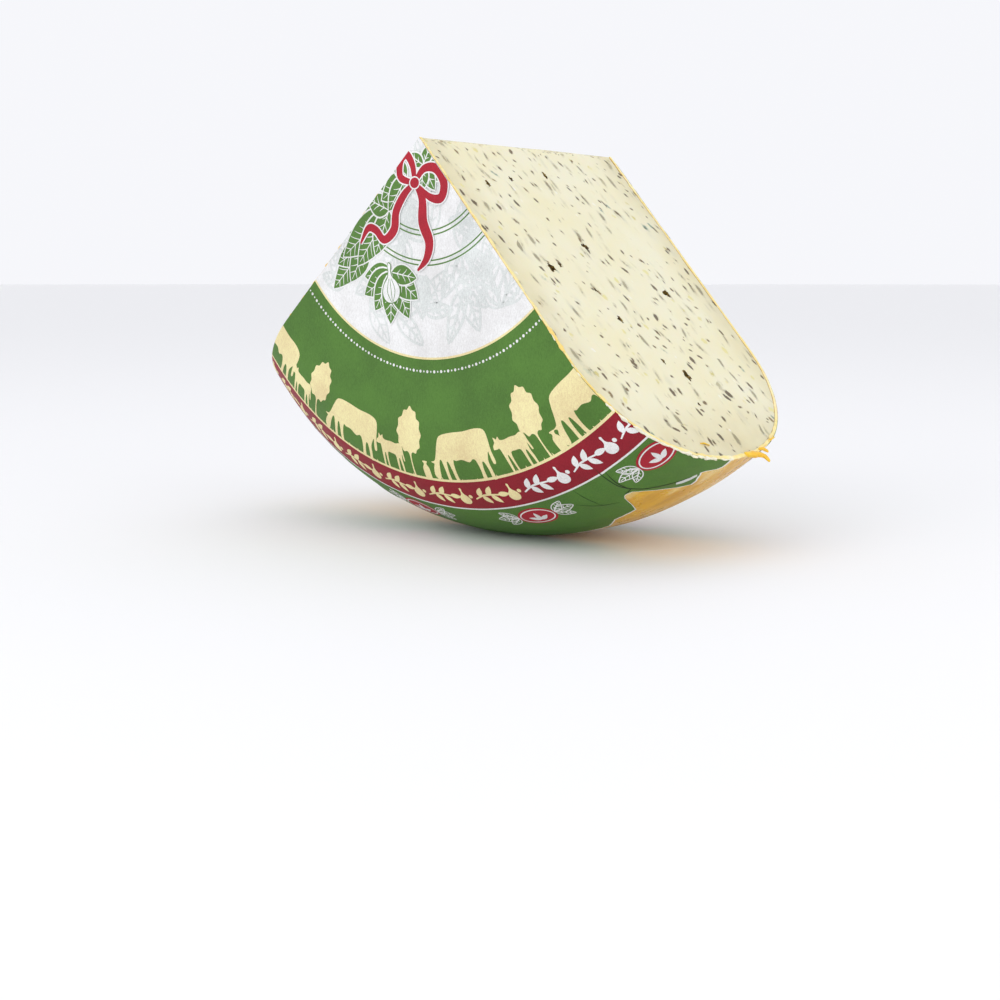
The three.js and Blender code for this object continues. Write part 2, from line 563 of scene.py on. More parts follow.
@dataclass(frozen=True)
class CheeseFinish:
    """Pale, moist, slightly see-through cheese with herb flecks, painted shade towards the rim and the faces,
    and painted white highlights.
    """

    body: Tint = (0.795, 0.762, 0.566)
    warm: Tint = (0.785, 0.735, 0.492)
    # Darker tint of the painted shade towards the rim and the faces; the two spans below say where it comes
    # in.
    painted_shade_tint: Tint = (0.585, 0.510, 0.300)
    flecks: tuple[Flecks, ...] = HERB_FLECKS_AND_HIGHLIGHTS
    depth_per_radian: float = 80 * MM
    fleck_sway: tuple[float, float, float] = (3.0 * MM, 7.5 * MM, 0.0)
    fleck_raggedness: float = 0.26
    fringe_cover: float = 0.28
    painted_rim_shade: tuple[float, float] = (98 * MM, 125 * MM)
    painted_face_shade: tuple[float, float] = (32 * MM, 48 * MM)
    knife_strokes: tuple[float, float, float] = (30.0, 380.0, 30.0)
    relief_depth: float = 0.16 * MM

    def _fleck_mask(self, graph: Graph, place: tuple[bpy.types.NodeSocket, ...], layer: Flecks,
                    index: int) -> tuple[bpy.types.NodeSocket, bpy.types.NodeSocket]:
        """One layer's cover and its random tint share.

        Args:
            graph: Graph of the cheese's material.
            place: Distance from the wedge's point, y, and bearing about it.
            layer: The flecks.
            index: Number of the layer, which moves its pattern away from the others'.

        Returns:
            How far the layer covers the cheese, and a random number for each fleck.
        """
        down, y, bearing = place
        into = graph.maths("MULTIPLY", bearing, self.depth_per_radian)
        vector = graph.node("CombineXYZ", X=down, Y=y, Z=into).outputs[0]
        bend = graph.node("TexNoise", Vector=vector, Scale=70.0, Detail=1.0)
        swerve = graph.node("VectorMath", {"operation": "SUBTRACT"})
        graph.feed(swerve.inputs[0], bend.outputs["Color"])
        graph.feed(swerve.inputs[1], (0.5, 0.5, 0.5))
        sway = graph.node("VectorMath", {"operation": "MULTIPLY_ADD"})
        graph.feed(sway.inputs[0], swerve.outputs[0])
        graph.feed(sway.inputs[1], self.fleck_sway)
        graph.feed(sway.inputs[2], vector)
        turned = graph.node("Mapping", Vector=sway.outputs[0], Rotation=(0.0, 0.0, -layer.turn),
                            Location=(0.013 * index, 0.029 * index, 0.007))
        density = tuple(1 / size for size in layer.spacing)
        scaled = graph.node("Mapping", Vector=turned.outputs[0], Scale=density)
        cells = graph.node("TexVoronoi", Vector=scaled.outputs[0], Scale=1.0)
        chance = graph.node("SeparateColor", Color=cells.outputs["Color"])
        smallest, largest = layer.reach
        reach = graph.node("MapRange", Value=chance.outputs[1], To_Min=smallest, To_Max=largest)
        ragged = graph.maths("SUBTRACT", graph.noise(vector, 1100.0, 2.0), 0.5)
        edge = graph.maths("ADD", cells.outputs["Distance"],
                           graph.maths("MULTIPLY", ragged, self.fleck_raggedness))
        depth = graph.maths("SUBTRACT", reach.outputs[0], edge)
        core = graph.ramp(depth, -layer.edge, layer.edge)
        fringe = graph.maths("MULTIPLY", graph.ramp(depth, -layer.fringe - layer.edge, 0.0),
                             self.fringe_cover)
        cover = graph.maths("MAXIMUM", core, fringe)
        shown = graph.maths("LESS_THAN", chance.outputs[0], layer.present)
        return graph.maths("MULTIPLY", cover, shown), chance.outputs[2]

    def material(self, shape: WheelShape) -> bpy.types.Material:
        """Builds the cheese's material.

        Args:
            shape: The wheel.

        Returns:
            The material.
        """
        graph = Graph("herb_cheese")
        place = graph.turned_place(shape.point)
        rho, y, _ = graph.turned_place(shape.axis)
        spot = graph.object_place()
        blotches = graph.ramp(graph.noise(spot, 55.0, 3.0), 0.3, 0.72)
        colour = graph.mix(blotches, self.body, self.warm)
        # Painted shade: the cheese darkens towards the rim, where the wedge stands, and towards both faces,
        # in uneven patches.
        rim = graph.ramp(rho, *self.painted_rim_shade)
        faces = graph.ramp(graph.maths("ABSOLUTE", y), *self.painted_face_shade)
        edge = graph.maths("MAXIMUM", graph.maths("MULTIPLY", rim, 0.72),
                           graph.maths("MULTIPLY", faces, 0.55))
        shade_patches = graph.ramp(graph.noise(spot, 90.0, 2.0), 0.2, 0.8, 0.45, 1.1)
        colour = graph.mix(graph.maths("MULTIPLY", edge, shade_patches), colour, self.painted_shade_tint)
        dents: bpy.types.NodeSocket | None = None
        for index, layer in enumerate(self.flecks):
            cover, tint = self._fleck_mask(graph, place, layer, index + 1)
            ink = graph.mix(tint, layer.dark, layer.light)
            colour = graph.mix(graph.maths("MULTIPLY", cover, layer.strength), colour, ink)
            if layer.edge < 0.1:
                dents = cover if dents is None else graph.maths("MAXIMUM", dents, cover)
        grain = graph.noise(spot, 1400.0, 4.0, 0.6)
        pores = graph.ramp(graph.noise(spot, 420.0, 3.0), 0.62, 0.78)
        drag = graph.node("Mapping", Vector=spot, Rotation=(0.0, 0.5, 0.0), Scale=self.knife_strokes)
        strokes = graph.noise(drag.outputs[0], 1.0, 3.0)
        height = graph.maths("ADD", graph.maths("MULTIPLY", grain, 0.20),
                             graph.maths("MULTIPLY", strokes, 0.50))
        height = graph.maths("SUBTRACT", height, graph.maths("MULTIPLY", pores, 0.35))
        height = graph.maths("ADD", height, graph.maths("MULTIPLY", dents, 0.5))
        graph.relief(height, self.relief_depth, 0.8)
        rough = graph.ramp(graph.noise(spot, 160.0, 3.0), 0.3, 0.7, 0.40, 0.56)
        graph.surface(Base_Color=colour, Roughness=rough, Subsurface_Weight=0.18,
                      Subsurface_Radius=(4.0 * MM, 2.6 * MM, 1.1 * MM), Subsurface_Scale=1.0,
                      Specular_IOR_Level=0.45)
        return graph.material


@dataclass(frozen=True)
class EyeLiningAndShade:
    """Damp inside of an eye in the cheese, dark with herb bits and with painted shade of the hole."""

    deep: Tint = (0.075, 0.040, 0.006)
    pale: Tint = (0.34, 0.235, 0.060)

    def material(self) -> bpy.types.Material:
        """Builds the lining's material.

        Returns:
            The material.
        """
        graph = Graph("eye_lining_and_shade")
        spot = graph.object_place()
        # The colour runs from the deep tint, which is painted shade in the hole, to the pale tint, which is
        # herb brown.
        colour = graph.mix(graph.ramp(graph.noise(spot, 700.0, 3.0), 0.35, 0.65), self.deep, self.pale)
        graph.relief(graph.noise(spot, 1500.0, 3.0), 0.1 * MM)
        graph.surface(Base_Color=colour, Roughness=0.32, Subsurface_Weight=0.1,
                      Subsurface_Radius=(2 * MM, 1.2 * MM, 0.5 * MM), Subsurface_Scale=1.0)
        return graph.material


@dataclass(frozen=True)
class SmearFinish:
    """Crumbly pale cheese."""

    tint: Tint = (0.90, 0.845, 0.64)

    def material(self) -> bpy.types.Material:
        """Builds the crumbs' material.

        Returns:
            The material.
        """
        graph = Graph("smeared_cheese")
        graph.relief(graph.noise(graph.object_place(), 1300.0, 3.0), 0.15 * MM)
        graph.surface(Base_Color=self.tint, Roughness=0.5, Subsurface_Weight=0.25,
                      Subsurface_Radius=(2 * MM, 1.4 * MM, 0.8 * MM), Subsurface_Scale=1.0)
        return graph.material


@dataclass(frozen=True)
class CoatingFinish:
    """Glossy yellow cheese coating, streaked along the rim, with pale streaks of painted highlight."""

    name: str = "yellow_coating"
    bright: Tint = (0.74, 0.420, 0.034)
    ochre: Tint = (0.60, 0.300, 0.018)
    # pale: tint of the painted highlight streaks.
    pale: Tint = (0.83, 0.63, 0.27)
    sheen_share: float = 1.0

    def material(self, shape: WheelShape) -> bpy.types.Material:
        """Builds the coating's material.

        Args:
            shape: The wheel.

        Returns:
            The material.
        """
        graph = Graph(self.name)
        spot = graph.object_place()
        _, y, bearing = graph.turned_place(shape.axis)
        along = graph.node("CombineXYZ", X=graph.maths("MULTIPLY", bearing, 6.0),
                           Y=graph.maths("MULTIPLY", y, 150.0), Z=0.0).outputs[0]
        streaks = graph.noise(along, 1.0, 3.0, 0.5)
        colour = graph.mix(graph.ramp(streaks, 0.34, 0.62), self.ochre, self.bright)
        # Painted highlights: pale streaks along the rim stand in for the coating's sheen.
        sheen_streaks = graph.ramp(graph.noise(along, 0.70, 2.0), 0.52, 0.70)
        sheen_streaks = graph.maths("MULTIPLY", graph.maths("MULTIPLY", sheen_streaks, self.sheen_share), 0.75)
        colour = graph.mix(sheen_streaks, colour, self.pale)
        specks = graph.ramp(graph.noise(spot, 800.0, 2.0), 0.66, 0.76)
        colour = graph.mix(graph.maths("MULTIPLY", specks, 0.35), colour, self.ochre)
        skin = graph.maths("MULTIPLY", graph.noise(spot, 500.0, 3.0), 0.35)
        graph.relief(graph.maths("ADD", streaks, skin), 0.35 * MM, 0.7)
        rough = graph.ramp(graph.noise(spot, 240.0), 0.3, 0.7, 0.24, 0.42)
        graph.surface(Base_Color=colour, Roughness=rough,
                      Subsurface_Weight=0.22, Subsurface_Radius=(2.2 * MM, 1.1 * MM, 0.3 * MM),
                      Subsurface_Scale=1.0, Coat_Weight=0.06, Coat_Roughness=0.22,
                      Specular_IOR_Level=0.28)
        return graph.material


class Ink(Enum):
    """Colours that the label is printed in, each with how far it stands off the bare paper."""

    PAPER = ("paper_white", (0.860, 0.850, 0.838), 0.0)
    GREEN = ("field_green", (0.076, 0.186, 0.026), 0.0)
    RED = ("band_red", (0.262, 0.005, 0.017), 0.0)
    LINE_ART = ("pale_line_art", (0.695, 0.722, 0.705), 0.030 * MM)
    FOLIAGE = ("foliage_green", (0.095, 0.215, 0.040), 0.050 * MM)
    VEINS = ("print_white", (0.820, 0.825, 0.805), 0.050 * MM)
    CREAM = ("print_cream", (0.900, 0.725, 0.385), 0.045 * MM)
    RIBBON = ("ribbon_red", (0.400, 0.010, 0.026), 0.050 * MM)
    FOLD = ("fold_shadow", (0.012, 0.026, 0.008), 0.055 * MM)

    @property
    def title(self) -> str:
        """The ink's name."""
        return self.value[0]

    @property
    def tint(self) -> Tint:
        """The ink's colour."""
        return self.value[1]

    @property
    def lift(self) -> float:
        """Height of the ink's top over the bare paper."""
        return self.value[2]


@dataclass(frozen=True)
class PrintedPaper:
    """Thin label paper under one ink: fine fibre, faint mottling and soft creases."""

    ink: Ink

    def material(self) -> bpy.types.Material:
        """Builds the ink's material.

        Returns:
            The material.
        """
        graph = Graph(self.ink.title)
        spot = graph.object_place()
        fibre_space = graph.node("Mapping", Vector=spot, Rotation=(0.0, 0.6, 0.0),
                                 Scale=(2600.0, 2600.0, 900.0)).outputs[0]
        fibre = graph.noise(fibre_space, 1.0, 3.0, 0.7)
        speck = graph.noise(spot, 3200.0, 2.0, 0.6)
        mottle = graph.noise(spot, 70.0, 4.0)
        shade = graph.maths("ADD", graph.maths("MULTIPLY", fibre, 0.34),
                            graph.maths("MULTIPLY", speck, 0.26))
        shade = graph.maths("ADD", shade, graph.maths("MULTIPLY", mottle, 0.40))
        darker = tuple(part * 0.80 for part in self.ink.tint)
        lighter = tuple(min(part * 1.14 + 0.004, 0.90) for part in self.ink.tint)
        colour = graph.mix(graph.ramp(shade, 0.36, 0.64), darker, lighter)
        creases = graph.node("TexVoronoi", {"feature": "DISTANCE_TO_EDGE"}, Vector=spot, Scale=42.0)
        crease = graph.ramp(creases.outputs["Distance"], 0.0, 0.05, 1.0, 0.0)
        crease = graph.maths("MULTIPLY", crease, graph.ramp(graph.noise(spot, 40.0), 0.52, 0.66))
        height = graph.maths("ADD", graph.maths("MULTIPLY", fibre, 0.22),
                             graph.maths("MULTIPLY", graph.noise(spot, 120.0, 3.0), 0.9))
        height = graph.maths("ADD", height, graph.maths("MULTIPLY", crease, 0.22))
        graph.relief(height, 0.14 * MM, 0.75)
        graph.surface(Base_Color=colour, Roughness=graph.ramp(mottle, 0.3, 0.7, 0.50, 0.62),
                      Specular_IOR_Level=0.28)
        return graph.material


# ---------------------------------------------------------------- the cheese


@dataclass(frozen=True)
class Eye:
    """A small hole in a cut face."""

    hand: int
    down: float
    y: float
    length: float
    width: float


EYES = (
    Eye(1, 43 * MM, -3 * MM, 3.0 * MM, 2.3 * MM),
    Eye(1, 52 * MM, -27 * MM, 3.1 * MM, 2.5 * MM),
    Eye(1, 51 * MM, -22 * MM, 2.0 * MM, 1.2 * MM),
    Eye(1, 63 * MM, 23 * MM, 3.1 * MM, 2.6 * MM),
    Eye(1, 61 * MM, -13 * MM, 1.7 * MM, 1.3 * MM),
    Eye(1, 73 * MM, -11 * MM, 2.4 * MM, 1.8 * MM),
    Eye(1, 96 * MM, 3 * MM, 4.0 * MM, 2.4 * MM),
    Eye(1, 90 * MM, -4 * MM, 2.0 * MM, 1.2 * MM),
    Eye(1, 12 * MM, 2 * MM, 2.6 * MM, 1.7 * MM),
    Eye(1, 18 * MM, -30 * MM, 2.8 * MM, 1.9 * MM),
    Eye(1, 15 * MM, -17 * MM, 2.0 * MM, 1.4 * MM),
    Eye(1, 107 * MM, -1 * MM, 1.6 * MM, 1.0 * MM),
    Eye(-1, 30 * MM, -12 * MM, 3.0 * MM, 2.2 * MM),
    Eye(-1, 52 * MM, 16 * MM, 3.6 * MM, 2.5 * MM),
    Eye(-1, 69 * MM, -20 * MM, 2.4 * MM, 1.6 * MM),
    Eye(-1, 85 * MM, 5 * MM, 3.4 * MM, 2.1 * MM),
    Eye(-1, 101 * MM, -8 * MM, 2.0 * MM, 1.4 * MM),
    Eye(-1, 20 * MM, 22 * MM, 2.2 * MM, 1.5 * MM),
)


@dataclass
class CheesePaste:
    """The cheese itself: a solid sector with two gently uneven cut faces and small eyes."""

    shape: WheelShape
    depth: float = 1.32 * MM
    step: float = math.radians(2.5)
    rim_spacing: float = 2.5 * MM
    grid: float = 2.2 * MM
    unevenness: float = 0.16 * MM
    eye_depth: float = 0.62
    eye_swell: float = 0.80

    def build(self) -> bpy.types.Object:
        """Builds the cheese and stands it for its solid.

        Returns:
            The piece.
        """
        mesh = bmesh.new()
        section = self.shape.under_surface(self.depth, self.rim_spacing)
        chain = [self.shape.below_axis(mesh, rho, y) for rho, y in section]
        turn_about_axis(mesh, self.shape, chain, self.step, whole=True)
        bmesh.ops.dissolve_degenerate(mesh, dist=1e-7, edges=mesh.edges)
        cut_to_wedge(mesh, self.shape, closed=True)
        bmesh.ops.recalc_face_normals(mesh, faces=mesh.faces)
        self._settle(mesh)
        for hand in (1, -1):
            self._grid_cut(mesh, hand)
            self._weather_cut(mesh, hand)
        bmesh.ops.triangulate(mesh, faces=[face for face in mesh.faces if len(face.verts) > 4])
        slots = (CheeseFinish().material(self.shape), EyeLiningAndShade().material())
        piece = finished("cheese_paste_body", mesh, slots)
        self._open_eyes(piece)
        self._unwrap(piece)
        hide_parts("cheese_paste")
        return piece

    def _settle(self, mesh: bmesh.types.BMesh) -> None:
        """Presses the rim flat where it stands."""
        for vert in mesh.verts:
            vert.co.z = max(vert.co.z, self.depth)

    def _on_cut(self, spot: Vector, hand: int, slack: float = 1e-5) -> bool:
        """Whether a point lies in a cut."""
        return abs((spot - self.shape.point).dot(self.shape.outward(hand))) < slack

    def _grid_cut(self, mesh: bmesh.types.BMesh, hand: int) -> None:
        """Divides a cut face into a grid that can take the knife's unevenness.

        Args:
            mesh: Bmesh of the piece.
            hand: 1 for the right cut, -1 for the left.
        """
        faces = [face for face in mesh.faces if face.normal.dot(self.shape.outward(hand)) > 0.999
                 and self._on_cut(face.calc_center_median(), hand)]
        parts = (part for face in faces for part in (*face.verts, *face.edges))
        geometry = [*dict.fromkeys(parts), *faces]
        way = self.shape.way(hand)
        lines = [(self.shape.point + way * self.grid * (step + 0.5), way)
                 for step in range(round(self.shape.radius / self.grid))]
        reach = self.shape.half_height
        rows = round(2 * reach / self.grid)
        lines += [(Vector((0.0, -reach + self.grid * (row + 0.5), 0.0)), Vector((0.0, 1.0, 0.0)))
                  for row in range(rows)]
        for origin, normal in lines:
            result = bmesh.ops.bisect_plane(mesh, geom=geometry, plane_co=origin, plane_no=normal)
            geometry = list(dict.fromkeys([*result["geom"], *result["geom_cut"]]))

    def _weather_cut(self, mesh: bmesh.types.BMesh, hand: int) -> None:
        """Lets a cut face rise and fall a little, as a knife leaves it.

        Args:
            mesh: Bmesh of the piece.
            hand: 1 for the right cut, -1 for the left.
        """
        outward = self.shape.outward(hand)
        for vert in mesh.verts:
            if self._on_cut(vert.co, hand):
                broad = noise.noise(vert.co * 38 + Vector((3.1 * hand, 0, 0)))
                fine = noise.noise(vert.co * 150)
                vert.co += outward * self.unevenness * (broad + 0.35 * fine)

    def _open_eyes(self, piece: bpy.types.Object) -> None:
        """Hollows out the eyes and lines them with dark herb bits and painted shade.

        Args:
            piece: The cheese.
        """
        draw = random.Random(11)
        mesh = bmesh.new()
        for eye in EYES:
            lump = bmesh.ops.create_icosphere(mesh, subdivisions=3, radius=1.0)["verts"]
            way, outward = self.shape.way(eye.hand), self.shape.outward(eye.hand)
            axes = Matrix((way, Vector((0, 1, 0)), outward)).transposed()
            size = Matrix.Diagonal((eye.length / 2, eye.width / 2, eye.width * self.eye_depth))
            tilt = Matrix.Rotation(draw.uniform(0.1, 0.5), 3, "Z")
            centre = self.shape.point + way * eye.down + Vector((0, eye.y, 0))
            seed = Vector((draw.random() * 9, draw.random() * 9, 0))
            for vert in lump:
                swell = 1 + self.eye_swell * noise.noise(vert.co * 1.5 + seed)
                vert.co = centre + axes @ tilt @ size @ (vert.co * swell)
        data = mesh_data("eye_tool", mesh)
        data.materials.append(piece.data.materials[1])
        tool = linked("eye_tool", data)
        cutter = piece.modifiers.new("eyes", "BOOLEAN")
        cutter.operation = "DIFFERENCE"
        cutter.solver = "EXACT"
        cutter.material_mode = "TRANSFER"
        cutter.object = tool
        graph = bpy.context.evaluated_depsgraph_get()
        opened = bpy.data.meshes.new_from_object(piece.evaluated_get(graph))
        piece.modifiers.clear()
        piece.data = opened
        bpy.data.objects.remove(tool)

    def _unwrap(self, piece: bpy.types.Object) -> None:
        """Gives the two cut faces most of the room in the piece's map.

        Args:
            piece: The cheese.
        """
        margin, half, gap = 0.01, 0.485, 0.505
        cuts_top, rim_bottom, rim_share = 0.90, 0.93, 0.06
        mesh = bmesh.new()
        mesh.from_mesh(piece.data)
        mapping = mesh.loops.layers.uv.new("OFBake")
        height = 2 * self.shape.half_height
        for face in mesh.faces:
            centre = face.calc_center_median()
            hand = next((side for side in (1, -1) if self._on_cut(centre, side, 4 * MM)), 0)
            for loop in face.loops:
                from_point = loop.vert.co - self.shape.point
                if hand:
                    across = (loop.vert.co.y + height / 2) / height * half
                    along = from_point.dot(self.shape.way(hand)) / self.shape.radius
                    spot = (across + (gap if hand < 0 else margin), margin + along * cuts_top)
                else:
                    spot = (margin + (1 - 2 * margin) * (from_point.x / self.shape.radius + 1) / 2,
                            rim_bottom + rim_share * (loop.vert.co.y / height + 0.5))
                loop[mapping].uv = spot
        mesh.to_mesh(piece.data)
        mesh.free()


# ---------------------------------------------------------------- the coating


@dataclass
class YellowCoating:
    """Thin yellow skin over both faces and the rim, folded on the bare belt, ragged at the cuts."""

    shape: WheelShape
    labels: dict[Side, "LabelSurface"]
    depth: float = 0.16 * MM
    thickness: float = 1.15 * MM
    step: float = math.radians(0.75)
    spacing: float = 1.4 * MM
    fold_height: float = 0.30 * MM
    bare_from: tuple[float, float] = (1.0 * MM, 4.0 * MM)
    flat_foot: float = 0.22
    edge_band: float = 0.3 * MM
    proud: float = 0.10 * MM
    edge_roughness: float = 0.42 * MM
    deepest_notch: float = 0.45 * MM

    def build(self) -> bpy.types.Object:
        """Builds the coating and stands it for its solid.

        Returns:
            The piece.
        """
        mesh = bmesh.new()
        section = self.shape.under_surface(self.depth, self.spacing)
        chain = [self.shape.below_axis(mesh, rho, y) for rho, y in section]
        turn_about_axis(mesh, self.shape, chain, self.step)
        cut_to_wedge(mesh, self.shape, closed=False)
        face_outwards(mesh, self.shape)
        self._fold_belt(mesh)
        bmesh.ops.solidify(mesh, geom=mesh.faces[:], thickness=self.thickness)
        self._fray_cuts(mesh)
        bmesh.ops.recalc_face_normals(mesh, faces=mesh.faces)
        for face in mesh.faces:
            if any(abs(face.normal.dot(self.shape.outward(hand))) > 0.7 for hand in (1, -1)) and all(
                    self._near_cut(vert.co) for vert in face.verts):
                face.material_index = 1
        fresh = CoatingFinish("cut_coating", bright=(0.95, 0.79, 0.38), ochre=(0.93, 0.71, 0.26),
                              pale=(0.95, 0.85, 0.55))
        slots = (CoatingFinish().material(self.shape), fresh.material(self.shape))
        piece = finished("coating_skin", mesh, slots)
        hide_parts("yellow_coating")
        return piece

    def _fold_belt(self, mesh: bmesh.types.BMesh) -> None:
        """Raises soft folds that run along the bare belt, and presses the foot flat.

        Args:
            mesh: Bmesh of the piece.
        """
        mesh.normal_update()
        start, full = self.bare_from
        for vert in mesh.verts:
            y, bearing = vert.co.y, self.shape.bearing(vert.co)
            label = self.labels[Side.FRONT if y < 0 else Side.BACK]
            beyond = self.shape.arc_at(y) - label.hem_arc(bearing)
            inside = min(max((beyond - start) / (full - start), 0.0), 1.0)
            fold = noise.noise(Vector((y * 210, bearing * 2.2, 1.7)))
            fold += 0.5 * noise.noise(Vector((y * 520, bearing * 5, 4.2)))
            away = min(abs(bearing) / self.flat_foot, 1.0)
            vert.co += vert.normal * self.fold_height * inside * away * (fold - 0.35)
            vert.co.z = max(vert.co.z, self.depth)

    def _fray_cuts(self, mesh: bmesh.types.BMesh) -> None:
        """Makes the coating's edge uneven in the cuts and stands it slightly proud of the cheese.

        Args:
            mesh: Bmesh of the piece.
        """
        for hand in (1, -1):
            outward = self.shape.outward(hand)
            for vert in mesh.verts:
                if abs((vert.co - self.shape.point).dot(outward)) > self.edge_band:
                    continue
                rough = noise.noise(vert.co * 310) + 0.6 * noise.noise(vert.co * 900)
                from_axis = vert.co - self.shape.axis
                rho = math.hypot(from_axis.x, from_axis.z)
                inner = self._is_inner(rho, abs(vert.co.y))
                vert.co += outward * (self.proud + self.proud * rough)
                if inner:
                    middle = vert.co.lerp(self.shape.axis, 0.6)
                    middle.y = 0.0
                    inward = (middle - vert.co).normalized()
                    inward = (inward - outward * inward.dot(outward)).normalized()
                    vert.co += inward * max(self.edge_roughness * rough, -self.deepest_notch)

    def _near_cut(self, spot: Vector) -> bool:
        """Whether a point lies in one of the cuts, or just beside it."""
        gaps = [abs((spot - self.shape.point).dot(self.shape.outward(hand))) for hand in (1, -1)]
        return min(gaps) < 2 * self.edge_band

    def _is_inner(self, rho: float, out: float) -> bool:
        """Whether a point of the section lies on the coating's inner surface.

        Args:
            rho: Radius from the axis.
            out: Height off the middle plane.

        Returns:
            True on the inner surface.
        """
        if rho < self.shape.flat_radius:
            return out < self.shape.half_height - self.depth - self.thickness / 2
        reach = self.shape.radius - self.shape.flat_radius
        share = ((rho - self.shape.flat_radius) / reach) ** self.shape.fullness
        share += (out / self.shape.half_height) ** self.shape.fullness
        return share ** (1 / self.shape.fullness) < 1 - (self.depth + self.thickness / 2) / reach


# ---------------------------------------------------------------- label artwork, laid out flat


def leaf_outline(length: float, width: float, points: int = 7) -> Outline:
    """A pointed leaf from its stalk at the origin to its tip along +X.

    Args:
        length: From stalk to tip.
        width: At its widest.
        points: Steps along each side.

    Returns:
        The outline.
    """
    upper = []
    for step in range(points + 1):
        t = step / points
        upper.append(Vector((length * t, width / 2 * math.sin(math.pi * t**0.82) ** 0.85)))
    return upper + [Vector((spot.x, -spot.y)) for spot in reversed(upper[1:-1])]


def oval_outline(width: float, height: float, points: int = 28) -> Outline:
    """An oval about the origin."""
    turns = [math.tau * step / points for step in range(points)]
    return [Vector((width / 2 * math.cos(turn), height / 2 * math.sin(turn))) for turn in turns]


def smooth_outline(corners: Sequence[tuple[float, float]], scale: float) -> Outline:
    """A closed smooth outline through given corners."""
    looped = [*corners, corners[0]]
    return [Vector(spot) * scale for spot in spline(looped, 3)[:-1]]


HIND_LEGS = (
    (93, 22), (91, 38), (89, 34), (87, 25), (88, 13), (88.5, 3), (90, 0), (84, 0), (83.5, 13), (81, 24),
    (78, 25), (76.5, 14), (76.5, 3), (75, 0), (71, 0), (72, 14), (70, 27), (66, 30),
)
COW = (
    (1, 40), (0, 46), (4, 51), (8, 58), (7, 64), (12, 62), (16, 67), (18, 61), (25, 62), (36, 66),
    (50, 65.5), (64, 66), (79, 68.5), (90, 66), (94, 57), (95, 40), (96, 24), *HIND_LEGS, (61, 25),
    (55, 31), (42, 28), (33, 30), (31.5, 16), (32, 3), (33, 0), (27.5, 0), (27, 16), (25, 27), (22.5, 27),
    (21, 15), (20, 3), (21, 0), (15.5, 0), (16.5, 18), (15, 34), (11, 43), (5, 41),
)
GRAZING_COW = (
    (2, 5), (0, 11), (3, 21), (6, 27), (2, 30), (8, 31.5), (13, 40), (18, 53), (24, 63), (40, 66),
    (60, 66.5), (78, 69), (90, 67), (94, 57), (95, 40), (97, 24), *HIND_LEGS, (60, 26), (50, 30), (41, 29),
    (37, 30), (35, 16), (35, 3), (36, 0), (30.5, 0), (30, 16), (28.5, 27), (26, 28), (24, 15), (23, 3),
    (24, 0), (18.5, 0), (19.5, 16), (19, 30), (16, 31), (12, 20), (9, 9), (6, 4),
)
CALF = (
    (0, 50), (2, 57), (7, 62), (8, 71), (13, 66), (18, 70), (20, 63), (29, 61), (42, 62), (54, 61),
    (64, 64), (71, 59), (73, 47), (76, 30), (73, 29), (70, 42), (69, 31), (71, 15), (71, 3), (72, 0),
    (67.5, 0), (66, 15), (63, 30), (60, 30), (59, 15), (58.5, 3), (59.5, 0), (55, 0), (54, 18), (52, 35),
    (41, 37), (31, 36), (29, 17), (29, 3), (30, 0), (25.5, 0), (25, 18), (23.5, 32), (21, 32), (19.5, 16),
    (18, 3), (19, 0), (14, 0), (14.5, 18), (14, 38), (12, 49), (7, 49),
)
TREE = (
    (-3, 0), (-1.6, 4), (-1.4, 30), (-6, 36), (-13, 35), (-17, 41), (-23, 46), (-22, 55), (-26, 62),
    (-22, 70), (-22, 79), (-15, 83), (-12, 91), (-5, 92), (0, 98), (6, 93), (13, 91), (15, 83), (22, 79),
    (22, 70), (26, 62), (22, 54), (22, 45), (16, 41), (12, 35), (6, 36), (1.4, 30), (1.6, 4), (3, 0),
)
CHURN = (
    (-7, 0), (-8, 3), (-8, 20), (-6, 26), (-3.5, 29), (-3.5, 33), (-5, 34), (-5, 36.5), (5, 36.5), (5, 34),
    (3.5, 33), (3.5, 29), (6, 26), (8, 20), (8, 3), (7, 0),
)
GARLIC = (
    (0, 0), (5, 1), (9, 5), (10, 11), (7, 17), (3, 21), (1.6, 26), (2.4, 31), (0, 33), (-1.6, 31),
    (-1.4, 26), (-3, 21), (-7, 17), (-10, 11), (-9, 5), (-5, 1),
)


